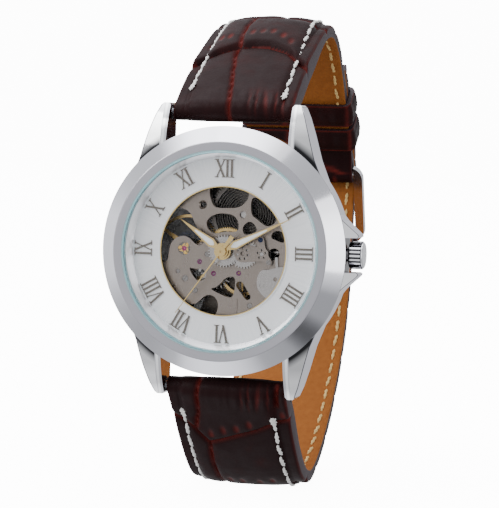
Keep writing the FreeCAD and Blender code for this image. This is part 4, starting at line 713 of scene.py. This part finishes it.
def strap_outer(name, route, thickness, grooves, dimples, pads, ridge, folds, keep_rule,
                holes=()):
    """The padded outer leather of a strap half, folded round the bars at its ends."""
    stations = np.arange(0, route.length, 0.24)
    stations[-1] = route.length
    point, normal = route.at(stations)
    depth = profile_at(stations / route.length, thickness) - LINING
    pieces = [(stations, point, normal, depth)]
    for end, (bar, turn, leg) in folds.items():
        s = 0.0 if end == "start" else route.length
        around, inward = fold_round(bar, route, s, 0.12, turn)
        lengths = np.linspace(0.2, FOLD_R * 3.2, len(around))
        # The turned-under end lies on the strap's inner side.
        reach = np.linspace(1.2, leg, 16)
        back = reach if end == "start" else route.length - reach
        p, q = route.at(back)
        whole = profile_at(back / route.length, thickness)
        under = p + q * (whole + 0.02)[:, None]
        ease = np.clip(reach / 2.4, 0, 1)[:, None]
        under = around[-1] * (1 - ease) + under * ease if leg > 3 else under
        turned_point = np.concatenate([around, under])
        turned_normal = np.concatenate([inward, -q])
        turned_depth = np.concatenate([np.full(len(around), FOLDED), np.full(len(under), 0.6)])
        turned_s = np.concatenate([lengths, lengths[-1] + reach])
        if end == "start":
            pieces.insert(0, (-turned_s[::-1], turned_point[::-1], turned_normal[::-1],
                              turned_depth[::-1]))
        else:
            pieces.append((route.length + turned_s, turned_point, turned_normal, turned_depth))
    s, point, normal, depth = (np.concatenate([p[k] for p in pieces]) for k in range(4))
    # The leather thins towards a fold.
    for end in folds:
        near = s if end == "start" else route.length - s
        on_strap = (near >= 0) & (near < 3.0)
        depth[on_strap] = FOLDED + (depth[on_strap] - FOLDED) * (near[on_strap] / 3.0) ** 1.5
    half = half_width(point[:, 0:1])
    x = across()[None, :] * half
    grid_s = np.broadcast_to(s[:, None], x.shape)
    pad = profile_at(np.clip(s, 0, None), pads)[:, None]
    height, red = relief(grid_s, x, half, grooves, dimples, pad, ridge)
    fade = np.clip((s + 4.0) / 3.0, 0, 1) if "start" in folds else np.ones_like(s)
    if "end" in folds:
        fade = fade * np.clip((route.length + 1 - s) / 2.0, 0.15, 1)
    fade = np.maximum(fade, 0.12)[:, None]
    height = height * fade
    if holes:
        height = pressed(s, height)
    outer = on_yz(x, point) - np.pad(normal, ((0, 0), (1, 0)))[:, None, :] * height[..., None]
    inner = on_yz(x, point + normal * depth[:, None])
    outer = rounded_holes(outer, s, x, normal, holes, 0.22)
    inner = rounded_holes(inner, s, x, normal, holes, 0.22)
    keep = kept_cells(keep_rule, s, x, point)
    return layer(name, outer, inner, keep, [CROC, EDGE_PAINT], red)


def strap_lining(name, route, thickness, first, last, keep_rule, holes=()):
    s = np.arange(first, last, 0.34)
    point, normal = route.at(s)
    whole = profile_at(s / route.length, thickness)
    half = half_width(point[:, 0:1]) - 0.02
    x = across(60)[None, :] * half
    edge = np.clip((np.abs(x) - (half - 0.4)) / 0.4, 0, 1) ** 2 * 0.2
    near = on_yz(x, point + normal * (whole - LINING + 0.02)[:, None])
    side = np.pad(normal, ((0, 0), (1, 0)))[:, None, :]
    far = on_yz(x, point + normal * whole[:, None]) - side * edge[..., None]
    near = rounded_holes(near, s, x, normal, holes, 0.28)
    far = rounded_holes(far, s, x, normal, holes, 0.28)
    keep = kept_cells(keep_rule, s, x, point)
    return layer(name, far, near, keep, [TAN, EDGE_PAINT])


def thread_run(points, normals, radius, twist, rings=12, sides=10):
    """One stitch of two-ply thread: a lobed tube that follows points and dives in at both ends."""
    p, q = np.array(points), np.array(normals)
    steps = np.linspace(0, 1, rings)
    line = np.stack([np.interp(steps, np.linspace(0, 1, len(p)), p[:, k]) for k in range(3)], 1)
    up = np.stack([np.interp(steps, np.linspace(0, 1, len(q)), q[:, k]) for k in range(3)], 1)
    along = np.gradient(line, axis=0)
    run = np.concatenate([[0], np.cumsum(np.linalg.norm(np.diff(line, axis=0), axis=1))])
    along /= np.linalg.norm(along, axis=1)[:, None]
    side = np.cross(along, up)
    swell = np.sqrt(np.clip(1 - (2 * steps - 1) ** 4, 0.05, 1))
    line = line + up * (radius * 0.75 * swell - 0.25 * radius)[:, None]
    vertices, faces = [], []
    for k in range(rings):
        for a in np.linspace(0, 2 * math.pi, sides, endpoint=False):
            lobe = radius * swell[k] * (1 + 0.28 * math.cos(2 * (a - twist * run[k])))
            vertices.append(line[k] + side[k] * math.cos(a) * lobe + up[k] * math.sin(a) * lobe * 0.8)
    for k in range(rings - 1):
        for a in range(sides):
            b = (a + 1) % sides
            faces.append((k * sides + a, k * sides + b, (k + 1) * sides + b, (k + 1) * sides + a))
    faces.append(tuple(range(sides))[::-1])
    faces.append(tuple((rings - 1) * sides + a for a in range(sides)))
    return vertices, faces


def gather(name, parts, finish):
    vertices, faces = [], []
    for v, f in parts:
        base = len(vertices)
        vertices += [tuple(p) for p in v]
        faces += [tuple(base + i for i in face) for face in f]
    return new_piece(name, vertices, faces, [finish], sharp=180)


def row_of_stitches(surface, first, last, x_at, seed, length=STITCH_LENGTH, radius=STITCH_R,
                    knots=True):
    """Stitches along the strap; surface gives points and outward normals."""
    rng = np.random.default_rng(seed)
    parts = []
    s = first
    while s < last:
        slant = rng.normal(0, 0.07)
        stations = np.linspace(s, s + length, 5)
        xs = x_at(stations) + np.linspace(-slant - 0.1, slant + 0.1, 5)
        p, q = surface(stations, xs)
        parts.append(thread_run(p, q, radius * rng.uniform(0.92, 1.08), 3.4))
        s += STITCH_PITCH
    if knots:
        for turn, reach in ((0.0, 1.6), (0.7, 1.5), (-0.6, 1.3), (0.25, 1.9)):
            stations = first + 0.1 + np.linspace(-reach / 2, reach / 2, 5) * math.cos(turn)
            xs = x_at(stations) + np.linspace(-reach / 2, reach / 2, 5) * math.sin(turn)
            p, q = surface(stations, xs)
            parts.append(thread_run(p + q * 0.22, q, radius * 0.85, 3.4))
    return parts


# ---- the two strap halves --------------------------------------------------------------------
top = Route(TOP_ROUTE, -1)
bottom = Route(BOTTOM_ROUTE, 1)
TOP_PADS = [(0, 0.9), (6, 0.7), (15, 1.0), (21, 1.7), (27, 1.8), (36, 0.8), (46, 0.05), (60, 0.0)]
BOTTOM_PADS = [(0, 0.8), (6, 0.6), (20, 0.8), (32, 0.5), (44, 0.05), (60, 0.0)]
more_top, dots_top = scales_beyond(29.0, 70, 3)
more_bottom, dots_bottom = scales_beyond(25.8, 124, 5)


def everywhere(s, x, yz):
    return np.ones(s.shape, bool)


def top_keep(s, x, yz):
    notch = (np.abs(x) < 1.3) & (s > top.length - 2.6) & (s < top.length + 8)
    return ~notch


HOLES = [bottom.length - 11.0 - HOLE_STEP * k for k in range(3)]
HOLES += [bottom.length - 47.5 - HOLE_STEP * k for k in range(3)]


def bottom_keep(s, x, yz):
    slot = (np.abs(x) < 1.35) & (yz[..., 0] > 48) & (yz[..., 1] > 4.8) & (yz[..., 1] < 11.0)
    hole = np.zeros(s.shape, bool)
    for at in HOLES:
        hole |= np.hypot(s - at, x) < HOLE_R
    return ~(slot | hole)


top_outer = strap_outer("strap_12_leather", top, TOP_THICKNESS, TOP_GROOVES + more_top,
                        TOP_DIMPLES + dots_top, TOP_PADS, (TOP_GROOVES[0], 1, 0.8),
                        {"start": (TOP_BAR, 1, 4.5), "end": (BUCKLE_BAR, -1, 7.0)}, top_keep)
top_inner = strap_lining("strap_12_lining", top, TOP_THICKNESS, 3.9, top.length - 5.5, everywhere)
bottom_outer = strap_outer("strap_6_leather", bottom, BOTTOM_THICKNESS,
                           BOTTOM_GROOVES + more_bottom, BOTTOM_DIMPLES + dots_bottom,
                           BOTTOM_PADS, (BOTTOM_GROOVES[0], -1, 0.3),
                           {"start": (BOTTOM_BAR, -1, 4.5)}, bottom_keep, HOLES)
bottom_inner = strap_lining("strap_6_lining", bottom, BOTTOM_THICKNESS, 3.9, bottom.length,
                            bottom_keep, HOLES)


def outside(route, pads):
    """Points and outward normals of the outer leather; the buckle sinks stitches under it."""
    def surface(s, x):
        point, normal = route.at(s)
        half = half_width(point[:, 0:1])
        pad = profile_at(np.clip(s, 0, None), pads)[:, None]
        height = relief(s[:, None], x[:, None], half, [], [], pad)[0]
        if route is bottom:
            flat = pressed(s, height)
            under_bar = ((s > END_BAR_FROM) & (s < END_BAR_TO))[:, None]
            height = flat - np.where(under_bar, 0.3, 0.08) * (flat < height)
        up = np.pad(-normal, ((0, 0), (1, 0)))
        return np.stack([x, point[:, 0], point[:, 1]], 1) + up * height, up
    return surface


def inside(route, thickness, lift=-0.06):
    """Points and inward normals of the lining."""
    def surface(s, x):
        point, normal = route.at(s)
        whole = profile_at(s / route.length, thickness)
        up = np.pad(normal, ((0, 0), (1, 0)))
        return np.stack([x, point[:, 0], point[:, 1]], 1) + up * (whole + lift)[:, None], up
    return surface


def drifting(value, slope=0.0):
    """Place of a row of stitches across the strap; it may drift a little along the way."""
    return lambda s: value + slope * np.clip(s, 0, 28)


def white_rows(route, pads, rows, last, seed):
    """Parts of the two white rows; rows holds their place across, first stitch and drift."""
    return [part for side, first, drift in rows
            for part in row_of_stitches(outside(route, pads), first, last,
                                        drifting(side, drift), seed)]


def lining_rows(route, thickness, last, seed):
    return [part for side in (-LINING_ROW, LINING_ROW)
            for part in row_of_stitches(inside(route, thickness), 5, last, drifting(side), seed,
                                        LINING_STITCH_LENGTH, LINING_STITCH_R, False)]


top_stitches = gather("strap_12_stitches",
                      white_rows(top, TOP_PADS, ((LEFT_ROW, 4.0, 0.012),
                                                 (RIGHT_ROW + 0.3, 2.0, -0.028)), 46, 4), THREAD)
bottom_stitches = gather("strap_6_stitches",
                         white_rows(bottom, BOTTOM_PADS, ((LEFT_ROW, 4.4, 0),
                                                          (RIGHT_ROW - 0.5, 5.2, 0)),
                                    bottom.length - 3, 9), THREAD)
top_lining_stitches = gather("strap_12_lining_stitches",
                             lining_rows(top, TOP_THICKNESS, top.length - 8, 11), TAN_THREAD)
bottom_lining_stitches = gather("strap_6_lining_stitches",
                                lining_rows(bottom, BOTTOM_THICKNESS, bottom.length - 3, 13),
                                TAN_THREAD)


# ---- keepers ---------------------------------------------------------------------------------
def keeper(name, distance, seed):
    """Leather loop, a little domed across its width."""
    along = np.array([0, KEEPER_END[0] - KEEPER_START[0], KEEPER_END[1] - KEEPER_START[1]])
    along = along / np.linalg.norm(along)
    inward = np.array([0, -along[2], along[1]])
    if inward[1] > 0:
        inward = -inward
    middle = np.array([0, *KEEPER_START]) + along * distance
    half_x, low, high = KEEPER_HALF, KEEPER_LOW, KEEPER_HIGH
    corner, width = KEEPER_CORNER, KEEPER_WIDTH
    path = []
    for cx, cy, a0 in ((half_x - corner, high - corner, 0), (-half_x + corner, high - corner, 90),
                       (-half_x + corner, low + corner, 180), (half_x - corner, low + corner, 270)):
        for a in np.radians(np.linspace(a0, a0 + 90, 9)):
            path.append((cx + corner * math.cos(a), cy + corner * math.sin(a),
                         math.cos(a), math.sin(a)))
    dense = []
    for (x0, y0, u0, v0), (x1, y1, u1, v1) in zip(path, path[1:] + path[:1]):
        steps = max(1, int(math.hypot(x1 - x0, y1 - y0) / 0.45))
        for k in range(steps):
            f = k / steps
            dense.append((x0 + (x1 - x0) * f, y0 + (y1 - y0) * f, u0 + (u1 - u0) * f,
                          v0 + (v1 - v0) * f))
    dense = np.array(dense)
    n = len(dense)
    w = across(22) * width / 2
    rng = np.random.default_rng(seed)
    dome = 0.22 * (1 - (np.abs(w) / (width / 2)) ** 3) - 0.2
    groove = 0.1 * np.exp(-((np.abs(w) - (width / 2 - KEEPER_GROOVE)) / 0.16) ** 2)
    vertices, crease = [], []
    run = np.arange(n) * 0.45
    ripple = 0.05 * np.sin(run * 1.3 + rng.uniform(0, 6)) + 0.04 * np.sin(run * 2.9)
    for k in range(n):
        x, y, u, v = dense[k]
        length = math.hypot(u, v)
        for j, offset in enumerate(w):
            out = dome[j] - groove[j] + ripple[k] * (1 - (offset / (width / 2)) ** 2)
            p = middle + np.array([x + u / length * out, 0, 0]) + inward * (y + v / length * out)
            vertices.append(p + along * offset)
            crease.append(min(1.0, 0.9 * math.exp(-((width / 2 - abs(offset)) / 0.2) ** 2)
                              + 0.8 * max(0, math.sin(run[k] * 0.55 + j * 0.02)) ** 24))
    m = len(w)
    for k in range(n):
        x, y, u, v = dense[k]
        length = math.hypot(u, v)
        p = (middle + np.array([x - u / length * KEEPER_WALL, 0, 0])
             + inward * (y - v / length * KEEPER_WALL))
        for offset in (-width / 2 + 0.05, width / 2 - 0.05):
            vertices.append(p + along * offset)
            crease.append(0.0)
    faces, kinds = [], []
    for k in range(n):
        l = (k + 1) % n
        for j in range(m - 1):
            faces.append((k * m + j, k * m + j + 1, l * m + j + 1, l * m + j))
            kinds.append(0)
        a, b, c, d = n * m + 2 * k, n * m + 2 * k + 1, n * m + 2 * l + 1, n * m + 2 * l
        faces.append((b, a, d, c))
        kinds.append(0)
        faces.append((a, k * m, l * m, d))
        kinds.append(1)
        faces.append((k * m + m - 1, b, c, l * m + m - 1))
        kinds.append(1)
    return new_piece(name, vertices, faces, [CROC, EDGE_PAINT], kinds, crease)


fixed_keeper = keeper("fixed_keeper_leather", 0.6, 1)
free_keeper = keeper("free_keeper_leather", 5.9, 2)

# ---- which body each piece rides on ----------------------------------------------------------
for piece in (top_outer, top_inner, top_stitches, top_lining_stitches, fixed_keeper):
    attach(piece, "strap_top")
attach(free_keeper, "keeper_free")
for piece in (bottom_outer, bottom_inner, bottom_stitches, bottom_lining_stitches):
    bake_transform(piece)
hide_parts("strap_top_outer")
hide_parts("strap_top_lining")
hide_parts("strap_bottom_outer")
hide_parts("strap_bottom_lining")
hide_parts("keeper_fixed")
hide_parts("keeper_free")

# ---- floor and backdrop ----------------------------------------------------------------------
def disc_and_dome(radius, floor_z, around=48, rings=12):
    """A flat pale floor that runs into a round wall and ceiling of the same paint."""
    points, quads = [(0, 0, floor_z)], []
    for k in range(1, rings + 1):
        tilt = math.radians(90 * (k - 1) / (rings - 1))
        for a in range(around):
            turn = 2 * math.pi * a / around
            points.append((radius * math.cos(tilt) * math.cos(turn),
                           radius * math.cos(tilt) * math.sin(turn),
                           floor_z + radius * math.sin(tilt)))
    for a in range(around):
        b = (a + 1) % around
        quads.append((0, 1 + b, 1 + a))
        for k in range(rings - 1):
            low, high = 1 + k * around, 1 + (k + 1) * around
            quads.append((low + a, low + b, high + b, high + a))
    return points, quads


FLOOR_GLOW, FLOOR_RADIUS, FLOOR_GAP = 12.0, 4000, 0.4
FLOOR = material("pale_floor", (0.92, 0.92, 0.92), 0.8, Emission_Color=(1, 1, 1, 1),
                 Emission_Strength=FLOOR_GLOW)[0]
floor = new_piece("pale_floor",
                  *disc_and_dome(FLOOR_RADIUS, CAD_BOUNDS[0][2] / MM - FLOOR_GAP), [FLOOR],
                  sharp=180)
# The backdrop is lit by itself, and its light stays off the watch.
floor.visible_diffuse = floor.visible_glossy = floor.visible_transmission = False
floor.visible_shadow = False

# ---- lights ----------------------------------------------------------------------------------
world = bpy.data.worlds.new("studio")
bpy.context.scene.world = world
world.use_nodes = True
background = world.node_tree.nodes["Background"]
background.inputs["Color"].default_value = (0.95, 0.96, 1.0, 1)
# Softboxes and the gaps between them: direction, inner and outer angle, brightness.
LOBES = [((-0.25, -0.04, 0.967), 14, 34, 3.2), ((0.967, -0.25, 0.0), 12, 26, 3.0),
         ((-0.25, -0.04, -0.967), 8, 24, 2.2), ((0.579, -0.205, 0.789), 6, 26, 0.72),
         ((0.579, -0.205, -0.789), 5, 13, 0.22), ((-0.789, 0.205, -0.579), 5, 24, 0.5),
         ((-0.829, 0.148, 0.539), 5, 24, 0.6)]
sky = world.node_tree


def towards(direction):
    """Cosine of the angle between the looked-at direction and this one."""
    return node(sky, "ShaderNodeVectorMath",
                {0: node(sky, "ShaderNodeTexCoord").outputs["Generated"], 1: direction},
                operation="DOT_PRODUCT").outputs["Value"]


# A bright studio to the upper left of the dial and a dimmer one to the lower right.
gradient = ramp(sky, towards((-0.78, -0.15, 0.6)), -0.9, 0.9, 0.45, 1.55)
for direction, inner, outer, factor in LOBES:
    gradient = maths(sky, "MULTIPLY", gradient,
                     ramp(sky, towards(direction), math.cos(math.radians(outer)),
                          math.cos(math.radians(inner)), 1, factor))
sky.links.new(gradient, background.inputs["Strength"])


def softbox(name, at, size, power):
    """Rectangular lamp that faces the watch."""
    light = bpy.data.lights.new(name, "AREA")
    light.shape = "RECTANGLE"
    light.size, light.size_y = size
    light.energy = power
    obj = bpy.data.objects.new(name, light)
    obj.location = at
    obj.rotation_euler = (-Vector(at)).to_track_quat("-Z", "Y").to_euler()
    bpy.context.scene.collection.objects.link(obj)


softbox("key_light", (-0.55, -0.55, 0.5), (0.6, 0.6), 5.5)
softbox("top_light", (0.05, -0.05, 0.8), (0.8, 0.5), 1)
softbox("right_light", (0.8, -0.25, 0.15), (0.35, 0.7), 1.5)

# ---- camera ----------------------------------------------------------------------------------
AZIMUTH, ELEVATION, ROLL = math.radians(14.5), math.radians(2.5), math.radians(1.5)
DISTANCE, LENS, SENSOR = 0.400, 177.8740, 36          # metres, and millimetres
AIM_RIGHT, AIM_DOWN = 0.0044462, 0.0002869             # of the hands' axis, in metres
hub = Vector((0, -0.0085, 0))
away = Vector((math.sin(AZIMUTH) * math.cos(ELEVATION), -math.cos(AZIMUTH) * math.cos(ELEVATION),
               math.sin(ELEVATION)))
right = (-away).cross(Vector((0, 0, 1))).normalized()
aim = hub + right * AIM_RIGHT - right.cross(-away) * AIM_DOWN
camera_data = bpy.data.cameras.new("camera")
camera_data.sensor_width = camera_data.sensor_height = SENSOR
camera_data.lens = LENS
camera_data.clip_start, camera_data.clip_end = 0.01, 20
camera = bpy.data.objects.new("camera", camera_data)
camera.location = hub + away * DISTANCE
look = (aim - camera.location).to_track_quat("-Z", "Y").to_matrix()
camera.rotation_euler = (look @ Matrix.Rotation(ROLL, 3, "Z")).to_euler()
bpy.context.scene.collection.objects.link(camera)
bpy.context.scene.camera = camera
